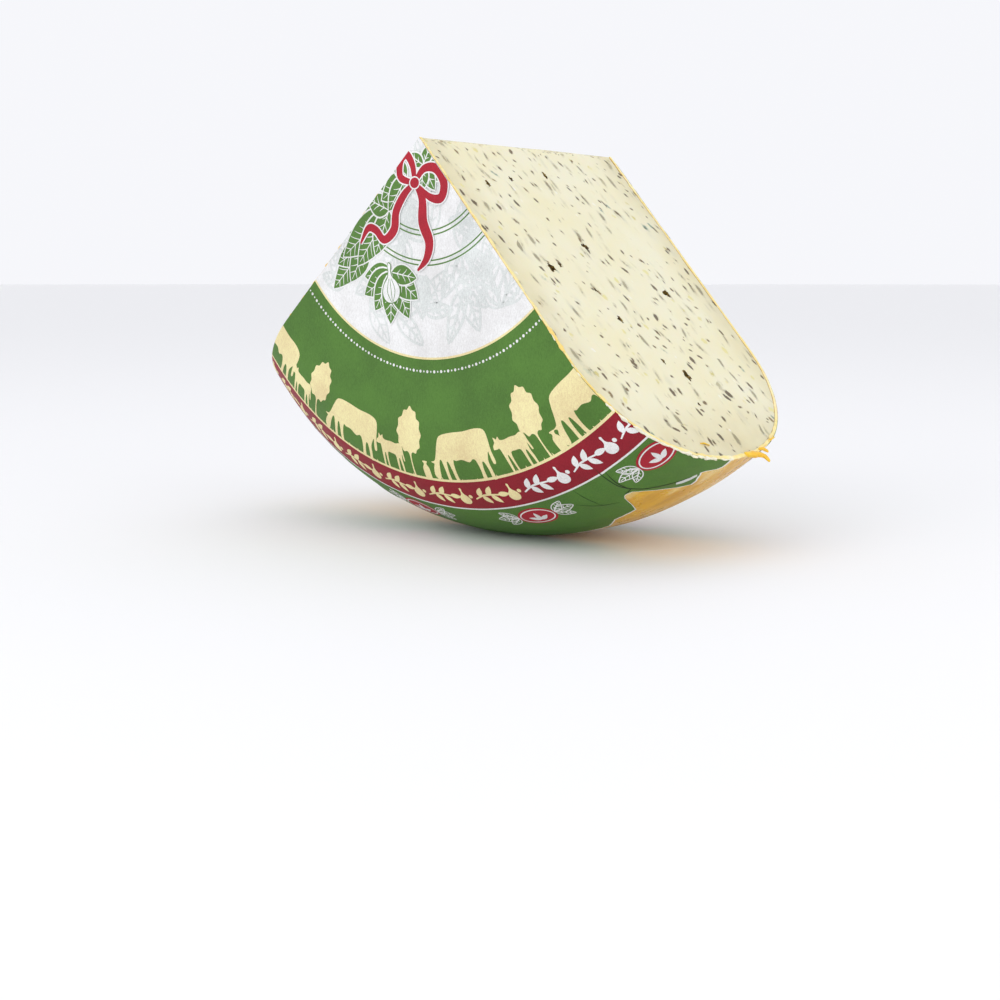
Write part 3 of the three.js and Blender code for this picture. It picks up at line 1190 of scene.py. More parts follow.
@dataclass
class Artwork:
    """Flat artwork of one label. X runs right and Y up as the front is seen, from the wheel's axis."""

    shapes: dict[Ink, list[tuple[Outline, float]]] = field(default_factory=dict)
    strips: dict[Ink, list[tuple[list[tuple[Vector, float]], float]]] = field(default_factory=dict)
    rings: dict[Ink, list[tuple[float, float]]] = field(default_factory=dict)
    level: float = 0.0
    level_step: float = 0.003 * MM
    own_levels: int = 14
    drawn: int = 0

    def add(self, ink: Ink, outline: Outline, at: Vector, turn: float = 0.0) -> None:
        """Adds a filled outline, turned and moved to its place."""
        spin = Matrix.Rotation(turn, 2)
        self.shapes.setdefault(ink, []).append(([at + spin @ spot for spot in outline], self._own_level()))

    def stroke(self, ink: Ink, path: Sequence[tuple[float, float, float]], at: Vector = Vector((0, 0)),
               turn: float = 0.0, steps: int = 5) -> None:
        """Adds a pen stroke.

        Args:
            ink: Its ink.
            path: Points of x, y and the stroke's width there.
            at: Where the path's origin goes.
            turn: How far the path is turned.
            steps: Smoothing steps between two points.
        """
        spin = Matrix.Rotation(turn, 2)
        drawn = [(at + spin @ Vector((x, y)), max(width, 0.05 * MM)) for x, y, width in spline(path, steps)]
        self.strips.setdefault(ink, []).append((drawn, self._own_level()))

    def _own_level(self) -> float:
        """A hair's breadth for each thing drawn, so that no two overlapping ones share a plane."""
        self.drawn += 1
        return self.level + self.drawn % self.own_levels * self.level_step / (self.own_levels + 2)

    def raise_level(self) -> None:
        """Puts what is drawn next over what is there."""
        self.level += self.level_step

    def ring(self, ink: Ink, inner: float, outer: float) -> None:
        """Adds a ring about the wheel's axis."""
        self.rings.setdefault(ink, []).append((inner, outer))

    @staticmethod
    def on_ring(arc: float, degrees: float) -> tuple[Vector, float]:
        """Place and turn of something that stands on a ring with its head towards the axis."""
        bearing = math.radians(degrees)
        return Vector((arc * math.sin(bearing), -arc * math.cos(bearing))), bearing

    def leaf(self, at: Vector, turn: float, length: float, width: float) -> None:
        """Adds a green leaf with a white margin, its midrib and its side veins left white.

        Args:
            at: Place of its stalk.
            turn: Its turn, in radians.
            length: From stalk to tip.
            width: At its widest.
        """
        pen = 0.34 * MM
        margin = 0.55 * MM
        heading = Matrix.Rotation(turn, 2) @ Vector((1, 0))
        edge = leaf_outline(length + 2 * margin, width + 2 * margin, 10)
        self.add(Ink.VEINS, edge, at - heading * margin, turn)
        self.raise_level()
        self.add(Ink.FOLIAGE, leaf_outline(length, width, 10), at, turn)
        self.raise_level()
        midrib = [(0.04 * length, 0, pen), (0.5 * length, 0, pen), (0.93 * length, 0, pen / 2)]
        self.stroke(Ink.VEINS, midrib, at, turn, 3)
        pairs = max(3, round(length / (2.7 * MM)))
        for step in range(1, pairs):
            start = length * step / (pairs + 0.6)
            reach = width * 0.34 * math.sin(math.pi * step / (pairs + 0.6)) ** 0.7
            for hand in (1, -1):
                path = [(start, 0, pen * 0.8), (start + reach * 0.55, hand * reach * 0.55, pen * 0.7),
                        (start + reach * 0.85, hand * reach, pen * 0.3)]
                self.stroke(Ink.VEINS, path, at, turn, 2)
        self.raise_level()

    def leaf_drawing(self, ink: Ink, at: Vector, turn: float, length: float, width: float,
                     pen: float) -> None:
        """Adds a leaf as pen lines only.

        Args:
            ink: Ink of the lines.
            at: Place of its stalk.
            turn: Its turn, in radians.
            length: From stalk to tip.
            width: At its widest.
            pen: Width of the lines.
        """
        outline = leaf_outline(length, width, 6)
        looped = [(spot.x, spot.y, pen * (0.45 if spot.x in (0.0, length) else 1.0))
                  for spot in (*outline, outline[0])]
        self.stroke(ink, looped, at, turn, 2)
        midrib = [(0, 0, pen), (length * 0.5, width * 0.04, pen), (length * 0.92, 0, pen * 0.5)]
        self.stroke(ink, midrib, at, turn, 2)
        for step in (0.28, 0.5, 0.7):
            reach = width * 0.36 * math.sin(math.pi * step)
            for hand in (1, -1):
                path = [(length * step, 0, pen), (length * step + reach * 0.8, hand * reach, pen * 0.6)]
                self.stroke(ink, path, at, turn, 2)


@dataclass
class LabelDesign:
    """Sizes of the label's design, from the axis outwards, and how it is drawn."""

    disc: float = 65.3 * MM
    bead_ring: float = 69.3 * MM
    ground_inner: float = 103.8 * MM
    ground_outer: float = 104.7 * MM
    band_outer: float = 116.4 * MM
    line: float = 0.65 * MM
    fine_rings: tuple[float, ...] = (26.6 * MM, 28.0 * MM, 35.6 * MM, 37.0 * MM)
    fine_pen: float = 0.42 * MM
    sprays: int = 20
    spray_gap: float = 10.5 * MM
    spray_lengths: tuple[float, float] = (10, 18)
    spray_pens: tuple[float, float] = (0.65, 1.15)
    spray_levels: int = 5
    beads: int = 84
    bead_first: float = -51.0
    bead_sweep: float = 102.0
    bead_sizes: tuple[float, float] = (0.95 * MM, 0.60 * MM)
    ribbon_margin: float = 0.9
    grass_blades: int = 44
    garland_first: float = -53.0
    garland_step: float = 10.6
    garland_repeats: int = 10
    garland_cream_to: float = 12.0
    emblem_arc: float = 123.5 * MM
    emblem_first: float = -34.4
    emblem_step: float = 24.4
    emblem_level: int = 6
    emblems: int = 4
    folds: tuple[tuple[tuple[float, float, float], ...], ...] = ()

    def draw(self) -> Artwork:
        """Draws the whole label.

        Returns:
            The artwork.
        """
        art = Artwork()
        self._rings(art)
        self._leaf_background(art)
        self._bouquet(art)
        self._ribbon(art)
        self._bead_ring(art)
        self._frieze(art)
        self._band(art)
        self._emblems(art)
        self._folds(art)
        return art

    def _rings(self, art: Artwork) -> None:
        """Thin rings that part the colours, and fine double rings in the disc.

        Args:
            art: Artwork that gets it.
        """
        art.ring(Ink.CREAM, self.disc - self.line / 2, self.disc + self.line / 2)
        art.ring(Ink.CREAM, self.ground_inner, self.ground_outer)
        art.ring(Ink.VEINS, self.band_outer, self.band_outer + self.line)
        for radius in self.fine_rings:
            art.ring(Ink.FOLIAGE, radius - self.fine_pen / 2, radius + self.fine_pen / 2)

    def _leaf_background(self, art: Artwork) -> None:
        """Pale drawn leaves in overlapping sprays over the whole disc, in a broad soft pen.

        Args:
            art: Artwork that gets it.
        """
        draw = random.Random(5)
        placed: list[Vector] = []
        while len(placed) < self.sprays:
            radius = math.sqrt(draw.uniform(0.04, 1.0)) * (self.disc - 7 * MM)
            bearing = draw.uniform(-0.85, 0.75)
            spot = Vector((radius * math.sin(bearing), -radius * math.cos(bearing)))
            if any((spot - other).length < self.spray_gap for other in placed):
                continue
            placed.append(spot)
            base = draw.uniform(0, math.tau)
            for fan in (-0.75, 0.0, 0.8):
                length = draw.uniform(*self.spray_lengths) * MM
                turn = base + fan + draw.uniform(-0.2, 0.2)
                pen = draw.uniform(*self.spray_pens) * MM
                tip = spot + Matrix.Rotation(turn, 2) @ Vector((length, 0))
                if tip.length < self.disc - 1.5 * MM:
                    width = length * draw.uniform(0.34, 0.5)
                    art.leaf_drawing(Ink.LINE_ART, spot, turn, length, width, pen)
                    art.level = (art.level + art.level_step) % (self.spray_levels * art.level_step)
        art.level = 0.0

    def _bouquet(self, art: Artwork) -> None:
        """Green basil spray on the left of the disc, with a drawn garlic bulb below it.

        Args:
            art: Artwork that gets it.
        """
        sprays = (
            ((-26, -30), ((222, 21, 9), (205, 15, 8), (238, 14, 8))),
            ((-16, -20), ((180, 13, 8), (198, 20, 10), (214, 25, 11), (230, 22, 10), (246, 15, 8),
                          (158, 10, 7))),
            ((-8, -10), ((168, 10, 6), (192, 13, 8), (212, 13, 8), (232, 13, 7), (140, 8, 5))),
            ((-15, -39), ((186, 12, 7), (210, 14, 8), (238, 14, 8), (268, 16, 8), (298, 16, 8),
                          (324, 14, 8), (350, 11, 6))),
            ((-1, -7), ((16, 9, 5), (-22, 11, 6), (-58, 9, 5), (-95, 8, 5), (60, 7, 4), (150, 7, 4))),
        )
        for spot, leaves in sprays:
            for angle, length, width in leaves:
                art.leaf(Vector(spot) * MM, math.radians(angle), length * MM, width * MM)
        bulb, lean, size = Vector((-14.6, -48.5)) * MM, math.radians(8), 0.38 * MM
        self._garlic(art, Ink.VEINS, bulb, lean, size)
        art.raise_level()
        self._garlic_lines(art, bulb, lean, size)
        art.raise_level()

    def _garlic(self, art: Artwork, ink: Ink, at: Vector, turn: float, scale: float) -> None:
        """A filled garlic bulb, root at its place."""
        art.add(ink, smooth_outline(GARLIC, scale), at, turn)

    def _garlic_lines(self, art: Artwork, at: Vector, turn: float, scale: float) -> None:
        """Outline and clove lines of a garlic bulb.

        Args:
            art: Artwork that gets it.
            at: Place of its root.
            turn: Its turn, in radians.
            scale: Scale of the outline.
        """
        pen = 0.4 * MM
        outline = smooth_outline(GARLIC, scale)
        skin = [(spot.x, spot.y, pen * 0.7) for spot in (*outline, outline[0])]
        art.stroke(Ink.FOLIAGE, skin, at, turn, 1)
        for bulge in (-0.55, 0.0, 0.55):
            path = [(bulge * 2 * scale, 1 * scale, pen * 0.5), (bulge * 8 * scale, 10 * scale, pen * 0.6),
                    (bulge * 2.4 * scale, 20 * scale, pen * 0.4)]
            art.stroke(Ink.FOLIAGE, path, at, turn, 4)

    def _ribbon(self, art: Artwork) -> None:
        """Red ribbon tied in a bow over the spray: two loops, two wavy tails and the knot.

        Args:
            art: Artwork that gets it.
        """
        knot = (-4.6, -12.2)
        paths = (
            ((*knot, 1.4), (-1.5, -17, 3.0), (-1.2, -24, 3.8), (1.4, -30, 3.5), (0.2, -35, 2.6),
             (-3.6, -38.6, 0.7)),
            ((*knot, 1.4), (-9, -15.5, 2.6), (-12.6, -20.5, 3.0), (-13.6, -26, 3.2), (-18, -29.0, 2.5),
             (-21.6, -26.0, 2.5), (-25.2, -25.4, 2.2), (-28.6, -30.0, 0.7)),
            ((*knot, 1.6), (-0.6, -8.2, 2.3), (4.4, -8.4, 2.9), (7.6, -12.6, 3.1), (6.4, -17.0, 2.9),
             (1.6, -16.6, 2.2), (*knot, 1.4)),
            ((*knot, 1.6), (-5.4, -7.0, 2.3), (-8.0, -3.6, 2.6), (-10.6, -5.6, 2.7), (-10.4, -10.4, 2.4),
             (*knot, 1.4)),
        )
        for path in paths:
            wider = [(x * MM, y * MM, (width + self.ribbon_margin) * MM) for x, y, width in path]
            art.stroke(Ink.VEINS, wider, steps=8)
        for path in paths:
            art.raise_level()
            art.stroke(Ink.RIBBON, [(x * MM, y * MM, width * MM) for x, y, width in path], steps=8)
        art.raise_level()
        middle = Vector(knot) * MM
        art.add(Ink.VEINS, oval_outline(4.6 * MM, 4.0 * MM, 20), middle)
        art.raise_level()
        art.add(Ink.RIBBON, oval_outline(3.8 * MM, 3.2 * MM, 20), middle)
        art.level = 0.0

    def _bead_ring(self, art: Artwork) -> None:
        """Fine white ring of larger and smaller beads, just outside the disc.

        Args:
            art: Artwork that gets it.
        """
        for step in range(self.beads):
            degrees = self.bead_first + self.bead_sweep * step / self.beads
            at, _ = Artwork.on_ring(self.bead_ring, degrees)
            size = self.bead_sizes[step % 2]
            art.add(Ink.VEINS, oval_outline(size, size, 10), at)

    def _frieze(self, art: Artwork) -> None:
        """Cows, calves, round-headed trees and milk churns standing on the ground line.

        Args:
            art: Artwork that gets it.
        """
        stand = self.ground_inner + 0.3 * MM
        cast = (
            (COW, -49.5, 0.250, 1.12), (CALF, -38.6, 0.160, 1.0), (TREE, -33.4, 0.232, 0.86),
            (GRAZING_COW, -22.6, 0.240, 1.15), (CALF, -10.9, 0.166, 1.0), (TREE, -5.6, 0.240, 0.86),
            (CHURN, -2.2, 0.175, 1.0), (GRAZING_COW, 7.2, 0.243, 1.15), (CALF, 20.2, 0.176, 1.05),
            (TREE, 26.2, 0.245, 0.86), (CHURN, 29.3, 0.185, 1.0), (GRAZING_COW, 37.4, 0.250, 1.10),
        )
        for outline, degrees, scale, stretch in cast:
            at, turn = Artwork.on_ring(stand, degrees)
            middle = sum(x for x, _ in outline) / len(outline)
            figure = [Vector(((spot.x - middle * scale * MM) * stretch, spot.y))
                      for spot in smooth_outline(outline, scale * MM)]
            art.add(Ink.CREAM, figure, at, turn)
        draw = random.Random(8)
        foot = 0.3
        for step in range(self.grass_blades):
            at, turn = Artwork.on_ring(stand, -50 + 2.2 * step + draw.uniform(-0.7, 0.7))
            height = draw.uniform(0.5, 1.3)
            blade = ((-foot, 0), (foot, 0), (draw.uniform(-foot, foot), height))
            art.add(Ink.CREAM, [Vector(spot) * MM for spot in blade], at, turn)

    def _band(self, art: Artwork) -> None:
        """Garland of sprigs, garlic bulbs and beads along the red band.

        Args:
            art: Artwork that gets it.
        """
        middle = (self.ground_outer + self.band_outer) / 2
        for repeat in range(self.garland_repeats):
            centre = self.garland_first + self.garland_step * repeat
            ink = Ink.CREAM if centre < self.garland_cream_to else Ink.VEINS
            self._sprig(art, ink, middle, centre)
            at, turn = Artwork.on_ring(middle + 3.5 * MM, centre + self.garland_step * 0.36)
            self._garlic(art, ink, at, turn, 0.215 * MM)
            for offset in (0.22, 0.50):
                at, turn = Artwork.on_ring(middle, centre + self.garland_step * offset)
                art.add(ink, oval_outline(1.5 * MM, 1.5 * MM, 12), at)

    def _sprig(self, art: Artwork, ink: Ink, arc: float, degrees: float) -> None:
        """Stem along the ring with leaves on both sides and one at its end.

        Args:
            art: Artwork that gets it.
            ink: Its ink.
            arc: Arc of the ring.
            degrees: Bearing of its middle.
        """
        at, turn = Artwork.on_ring(arc, degrees - 1.0)
        stem = ((-6.6, -0.9, 0.5), (-2, 0.4, 0.7), (4, 0, 0.6))
        leaves = ((-4.6, 0.95, 4.2), (-3.2, -0.95, 4.2), (-0.9, 0.9, 4.6), (0.5, -0.9, 4.6), (3.4, 0.0, 4.6))
        art.stroke(ink, [(x * MM, y * MM, width * MM) for x, y, width in stem], at, turn, 5)
        for along, tilt, length in leaves:
            foot = at + Matrix.Rotation(turn, 2) @ Vector((along * MM, 0.1 * MM))
            art.add(ink, leaf_outline(length * MM, 2.1 * MM, 6), foot, turn + tilt)

    def _folds(self, art: Artwork) -> None:
        """Fine dark lines where the paper is folded over itself, and its torn white edge.

        Args:
            art: Artwork that gets it.
        """
        for crease in self.folds:
            points = []
            for degrees, arc, width in crease:
                spot, _ = Artwork.on_ring(arc * MM, degrees)
                points.append((spot.x, spot.y, width * MM))
            art.stroke(Ink.FOLD, points, steps=8)
        if self.folds:
            torn = ((35.2, 138.2), (36.4, 140.6), (37.6, 142.4), (37.2, 143.3), (36.2, 142.5), (35.2, 140.9),
                    (34.7, 139.4))
            edge = [Artwork.on_ring(arc * MM, degrees)[0] for degrees, arc in torn]
            art.add(Ink.LINE_ART, edge, Vector((0, 0)))

    def _emblems(self, art: Artwork) -> None:
        """Red ovals with a white ring and a sprig inside, and drawn leaves at each side.

        Args:
            art: Artwork that gets it.
        """
        for repeat in range(self.emblems):
            at, turn = Artwork.on_ring(self.emblem_arc, self.emblem_first + self.emblem_step * repeat)
            art.level = 0.0
            art.add(Ink.RIBBON, oval_outline(15.5 * MM, 9.6 * MM, 32), at, turn)
            art.level = self.emblem_level * art.level_step
            self._emblem_ring(art, oval_outline(13.4 * MM, 7.6 * MM, 32), at, turn)
            for side in (1, -1):
                for tilt, length in ((0.7, 7.0), (0.15, 8.5), (-0.5, 7.0)):
                    foot = at + Matrix.Rotation(turn, 2) @ Vector((side * 7.6 * MM, 0.6 * MM))
                    heading = turn + (tilt if side > 0 else math.pi - tilt)
                    art.leaf_drawing(Ink.VEINS, foot, heading, length * MM, length * 0.46 * MM, 0.36 * MM)

    def _emblem_ring(self, art: Artwork, ring: Outline, at: Vector, turn: float) -> None:
        """White ring and three white leaves that stand over the red oval.

        Args:
            art: Artwork that gets it.
            ring: The ring's outline.
            at: The oval's middle.
            turn: Its turn, in radians.
        """
        art.stroke(Ink.VEINS, [(spot.x, spot.y, 0.45 * MM) for spot in (*ring, ring[0])], at, turn, 1)
        for tilt in (0.5, math.pi / 2, math.pi - 0.5):
            foot = at + Matrix.Rotation(turn, 2) @ Vector((0.0, -2.2 * MM))
            art.add(Ink.VEINS, leaf_outline(4.4 * MM, 1.8 * MM, 6), foot, turn + tilt)


# ---------------------------------------------------------------- the labels


@dataclass(frozen=True)
class Crease:
    """A fold pressed into the label, from one place to another."""

    start: tuple[float, float]
    end: tuple[float, float]
    height: float
    width: float = 0.8 * MM


FRONT_HEM = ((-62, 147.0), (19, 147.0), (22, 141.5), (26.5, 140.5), (27.6, 136.0), (28.6, 130.5),
             (29.2, 129.5), (30.5, 129.8), (33.3, 138.6), (35.1, 146.6), (38.3, 143.5), (39.2, 150.9),
             (60, 151.4))
BACK_HEM = ((-60, 134.5), (-30, 136.0), (-24, 132.5), (-20, 136.5), (0, 135.5), (30, 134.0), (60, 135.0))
FRONT_CREASES = (
    Crease((30.6, 113.0), (30.9, 128.0), 0.34 * MM, 1.6 * MM),
    Crease((31.6, 116.5), (31.1, 128.0), 0.26 * MM, 1.4 * MM),
    Crease((31.0, 127.8), (36.9, 141.0), 0.40 * MM, 1.8 * MM),
    Crease((22.2, 123.0), (27.3, 131.5), 0.28 * MM, 1.6 * MM),
    Crease((24.4, 116.8), (25.3, 128.5), 0.22 * MM, 1.5 * MM),
    Crease((-21.0, 121.0), (-17.5, 137.0), 0.26 * MM, 1.8 * MM),
    Crease((-38.0, 119.0), (-34.0, 133.0), 0.24 * MM, 1.7 * MM),
)
BACK_CREASES = (
    Crease((-31.0, 114.0), (-27.5, 131.0), 0.32 * MM, 1.8 * MM),
    Crease((-6.0, 118.0), (-9.5, 133.0), 0.26 * MM, 1.6 * MM),
    Crease((22.0, 116.0), (27.0, 132.0), 0.30 * MM, 1.8 * MM),
)
FRONT_FOLDS = (
    ((30.6, 113.6, 0.05), (30.5, 119.0, 0.30), (30.5, 124.2, 0.42), (31.0, 127.8, 0.36)),
    ((31.4, 116.9, 0.05), (31.0, 121.5, 0.32), (30.9, 126.0, 0.30), (31.0, 127.9, 0.20)),
    ((31.0, 127.8, 0.36), (32.0, 131.2, 0.50), (33.6, 134.2, 0.44), (35.4, 138.0, 0.34), (36.9, 141.6, 0.08)),
    ((31.0, 128.0, 0.30), (30.3, 128.6, 0.40), (29.4, 128.9, 0.10)),
    ((22.2, 123.4, 0.05), (24.5, 127.4, 0.26), (27.3, 131.2, 0.05)),
    ((24.4, 117.4, 0.05), (24.7, 122.0, 0.20), (25.2, 128.2, 0.05)),
)


@dataclass
class LabelSurface:
    """Where a label's paper lies on the wheel: its torn hem, its soft ripples and its creases.

    Places on a hem, a crease or a fold are given in degrees of bearing and millimetres of arc.
    """

    shape: WheelShape
    side: Side
    hem: tuple[tuple[float, float], ...]
    creases: tuple[Crease, ...] = ()
    paper_top: float = -0.02 * MM
    ripple: float = 0.035 * MM
    flange_ripple: float = 0.16 * MM
    free_from: float = 122 * MM
    loose_from: float = 108 * MM
    loosening: float = 14 * MM
    ripple_size: float = 17 * MM
    wave_size: float = 16 * MM
    degree_length: float = 2.1

    def hem_arc(self, bearing: float) -> float:
        """Arc at which the label ends, with a ragged edge.

        Args:
            bearing: Angle from straight down.

        Returns:
            The arc, in metres.
        """
        degrees = math.degrees(bearing)
        reach = self.hem[-1][1]
        for (start, first), (end, last) in zip(self.hem, self.hem[1:]):
            if start <= degrees <= end:
                reach = first + (last - first) * (degrees - start) / (end - start)
                break
        rough = noise.noise(Vector((degrees * 0.9, 2.0, self.side.value)))
        fine = noise.noise(Vector((degrees * 3.4, 7.0, self.side.value)))
        return (reach + 0.55 * rough + 0.35 * fine) * MM

    def relief(self, arc: float, bearing: float) -> float:
        """How far the paper stands off the coating: soft ripples and pressed folds.

        Args:
            arc: Distance over the surface from the axis.
            bearing: Angle from straight down.

        Returns:
            The height, in metres.
        """
        across, down = (arc * part / self.ripple_size for part in (math.sin(bearing), -math.cos(bearing)))
        soft = 0.5 + 0.5 * noise.noise(Vector((across, down, 3.0 * self.side.value)))
        height = self.ripple * soft
        loose = min(max((arc - self.loose_from) / self.loosening, 0.0), 1.0)
        wave = noise.noise(Vector((bearing * 13, arc / self.wave_size, 5.0 + self.side.value)))
        height += self.flange_ripple * loose * max(0.0, 0.35 + 0.65 * wave)
        spot = Vector((math.degrees(bearing), arc / MM))
        for crease in self.creases:
            height += self._crease_height(crease, spot)
        return height

    def _crease_height(self, crease: Crease, spot: Vector) -> float:
        """Height of one crease at a spot given in degrees of bearing and millimetres of arc.

        Args:
            crease: The crease.
            spot: The spot.

        Returns:
            The height, in metres.
        """
        start = Vector((crease.start[0] * self.degree_length, crease.start[1]))
        run = Vector((crease.end[0] * self.degree_length, crease.end[1])) - start
        from_start = Vector((spot.x * self.degree_length, spot.y)) - start
        share = min(max(from_start.dot(run) / run.length_squared, 0.0), 1.0)
        gap = (from_start - run * share).length * MM / crease.width
        return crease.height * math.exp(-gap * gap) * math.sin(math.pi * min(max(share, 0.04), 0.96))

    def place(self, arc: float, bearing: float, lift: float = 0.0) -> Vector:
        """Point on the paper's outer face, or at a lift over it."""
        return self.shape.place(self.side, arc, bearing, self.paper_top + self.relief(arc, bearing) + lift)

    def dress(self, mesh: bmesh.types.BMesh, layer: bmesh.types.BMLayerItem) -> None:
        """Lays a turned mesh onto the paper, with its flange drawn in to the torn hem.

        Args:
            mesh: Bmesh of the sheet.
            layer: Layer that holds each vertex's arc.
        """
        end = self.shape.crown_arc - 1 * MM
        for vert in mesh.verts:
            arc, bearing = vert[layer], self.shape.bearing(vert.co)
            if arc > self.free_from:
                share = (arc - self.free_from) / (end - self.free_from)
                arc = self.free_from + share * (self.hem_arc(bearing) - self.free_from)
            vert.co = self.place(arc, bearing)


@dataclass
class Label:
    """One face's paper label: the printed base sheet and a thin layer for each ink on top."""

    name: str
    node: str
    surface: LabelSurface
    design: LabelDesign
    finishes: dict[Ink, bpy.types.Material]
    thickness: float = 0.12 * MM
    print_thickness: float = 0.02 * MM
    step: float = math.radians(0.5)
    ring_step: float = math.radians(1.0)
    ring_reach: float = math.radians(58)
    row: float = 1.5 * MM
    tile: float = 2.6 * MM
    torn_rim: float = 2.01 * MM

    def build(self) -> list[bpy.types.Object]:
        """Builds the sheet and its print, and stands the sheet for its solid.

        Returns:
            The label's pieces, the sheet first.
        """
        sheet = self._sheet()
        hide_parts(self.node)
        art = self.design.draw()
        inks = [ink for ink in Ink if ink in art.shapes or ink in art.strips or ink in art.rings]
        return [sheet, *(self._print(art, ink) for ink in inks)]

    def _sheet(self) -> bpy.types.Object:
        """The printed sheet: white disc, green field, red band, green flange and pale torn hem.

        Returns:
            The piece.
        """
        shape, design = self.surface.shape, self.design
        bounds = [0.0, design.disc, design.ground_outer, design.band_outer, self.surface.free_from,
                  shape.crown_arc - 2 * MM, shape.crown_arc - 1 * MM]
        arcs = [0.0]
        for start, end in zip(bounds, bounds[1:]):
            spacing = 4 * self.row if end <= design.disc else self.row
            rows = max(1, round((end - start) / spacing))
            arcs += [start + (end - start) * row / rows for row in range(1, rows + 1)]
        mesh = bmesh.new()
        layer = mesh.verts.layers.float.new("arc")
        chain = []
        for arc in arcs:
            rho, out = shape.section(arc)
            vert = shape.below_axis(mesh, rho, self.surface.side.value * out)
            vert[layer] = arc
            chain.append(vert)
        turn_about_axis(mesh, shape, chain, self.step)
        cut_to_wedge(mesh, shape, closed=False)
        slots = (Ink.PAPER, Ink.GREEN, Ink.RED)
        last = shape.crown_arc - self.torn_rim
        for face in mesh.faces:
            arc = sum(vert[layer] for vert in face.verts) / len(face.verts)
            if arc < design.disc or arc > last:
                face.material_index = 0
            elif design.ground_outer < arc < design.band_outer:
                face.material_index = 2
            else:
                face.material_index = 1
        self.surface.dress(mesh, layer)
        face_outwards(mesh, shape)
        bmesh.ops.solidify(mesh, geom=mesh.faces[:], thickness=self.thickness)
        return finished(f"{self.name}_sheet", mesh, [self.finishes[ink] for ink in slots], 60)

    def _print(self, art: Artwork, ink: Ink) -> bpy.types.Object:
        """One ink's layer, laid out flat, wrapped over the wheel and cut with the wedge.

        Args:
            art: Artwork of the label.
            ink: The ink.

        Returns:
            The piece.
        """
        mesh = bmesh.new()
        for outline, level in art.shapes.get(ink, ()):
            self._fill(mesh, outline, level)
        self._tile(mesh)
        for inner, outer in art.rings.get(ink, ()):
            self._ring(mesh, inner, outer)
        for path, level in art.strips.get(ink, ()):
            self._strip(mesh, path, level)
        shape, side = self.surface.shape, self.surface.side
        for vert in mesh.verts:
            arc = math.hypot(vert.co.x, vert.co.y)
            bearing = -side.value * math.atan2(vert.co.x, -vert.co.y)
            vert.co = self.surface.place(arc, bearing, ink.lift + vert.co.z)
        cut_to_wedge(mesh, shape, closed=False)
        face_outwards(mesh, shape)
        bmesh.ops.solidify(mesh, geom=mesh.faces[:], thickness=self.print_thickness)
        return finished(f"{self.name}_{ink.title}", mesh, [self.finishes[ink]], 60)

    def _fill(self, mesh: bmesh.types.BMesh, outline: Outline, level: float) -> None:
        """Fills one flat outline.

        Args:
            mesh: Bmesh of the piece.
            outline: The outline.
            level: Its height.
        """
        verts = [mesh.verts.new((spot.x, spot.y, level)) for spot in outline]
        edges = [mesh.edges.new(pair) for pair in zip(verts, verts[1:] + verts[:1])]
        bmesh.ops.triangle_fill(mesh, edges=edges, use_beauty=True, use_dissolve=False)

    def _tile(self, mesh: bmesh.types.BMesh) -> None:
        """Divides large faces into tiles, so that they can follow the wheel.

        Args:
            mesh: Bmesh of the piece.
        """
        if not mesh.verts:
            return
        for axis in (Vector((1, 0, 0)), Vector((0, 1, 0))):
            spread = [vert.co.dot(axis) for vert in mesh.verts]
            count = int((max(spread) - min(spread)) / self.tile)
            for line in range(1, count + 1):
                bmesh.ops.bisect_plane(mesh, geom=mesh.verts[:] + mesh.edges[:] + mesh.faces[:],
                                       plane_co=axis * (min(spread) + line * self.tile), plane_no=axis)

    def _strip(self, mesh: bmesh.types.BMesh, path: list[tuple[Vector, float]], level: float) -> None:
        """Lays one pen stroke as a strip of triangles, which stay flat where the stroke turns sharply.

        Args:
            mesh: Bmesh of the piece.
            path: The stroke's points and widths.
            level: Its height.
        """
        last = len(path) - 1
        strip = bmesh.ops.create_grid(mesh, x_segments=last, y_segments=1, size=1.0)["verts"]
        for vert in strip:
            index = round((vert.co.x + 1) / 2 * last)
            spot, width = path[index]
            heading = path[min(index + 1, last)][0] - path[max(index - 1, 0)][0]
            sideways = Vector((-heading.y, heading.x)).normalized()
            place = spot + sideways * width / 2 * (1 if vert.co.y > 0 else -1)
            vert.co = (place.x, place.y, level)
        faces = dict.fromkeys(face for vert in strip for face in vert.link_faces)
        bmesh.ops.triangulate(mesh, faces=list(faces))

    def _ring(self, mesh: bmesh.types.BMesh, inner: float, outer: float) -> None:
        """Lays a ring, as far round as the wedge can need it.

        Args:
            mesh: Bmesh of the piece.
            inner: Inner radius.
            outer: Outer radius.
        """
        start = Vector((-math.sin(self.ring_reach), -math.cos(self.ring_reach), 0.0))
        verts = [mesh.verts.new(start * radius) for radius in (inner, (inner + outer) / 2, outer)]
        edges = [mesh.edges.new(pair) for pair in zip(verts, verts[1:])]
        bmesh.ops.spin(mesh, geom=verts + edges, cent=(0, 0, 0), axis=(0, 0, 1),
                       angle=2 * self.ring_reach,
                       steps=round(2 * self.ring_reach / self.ring_step), use_merge=False)


# ---------------------------------------------------------------- shreds and crumbs


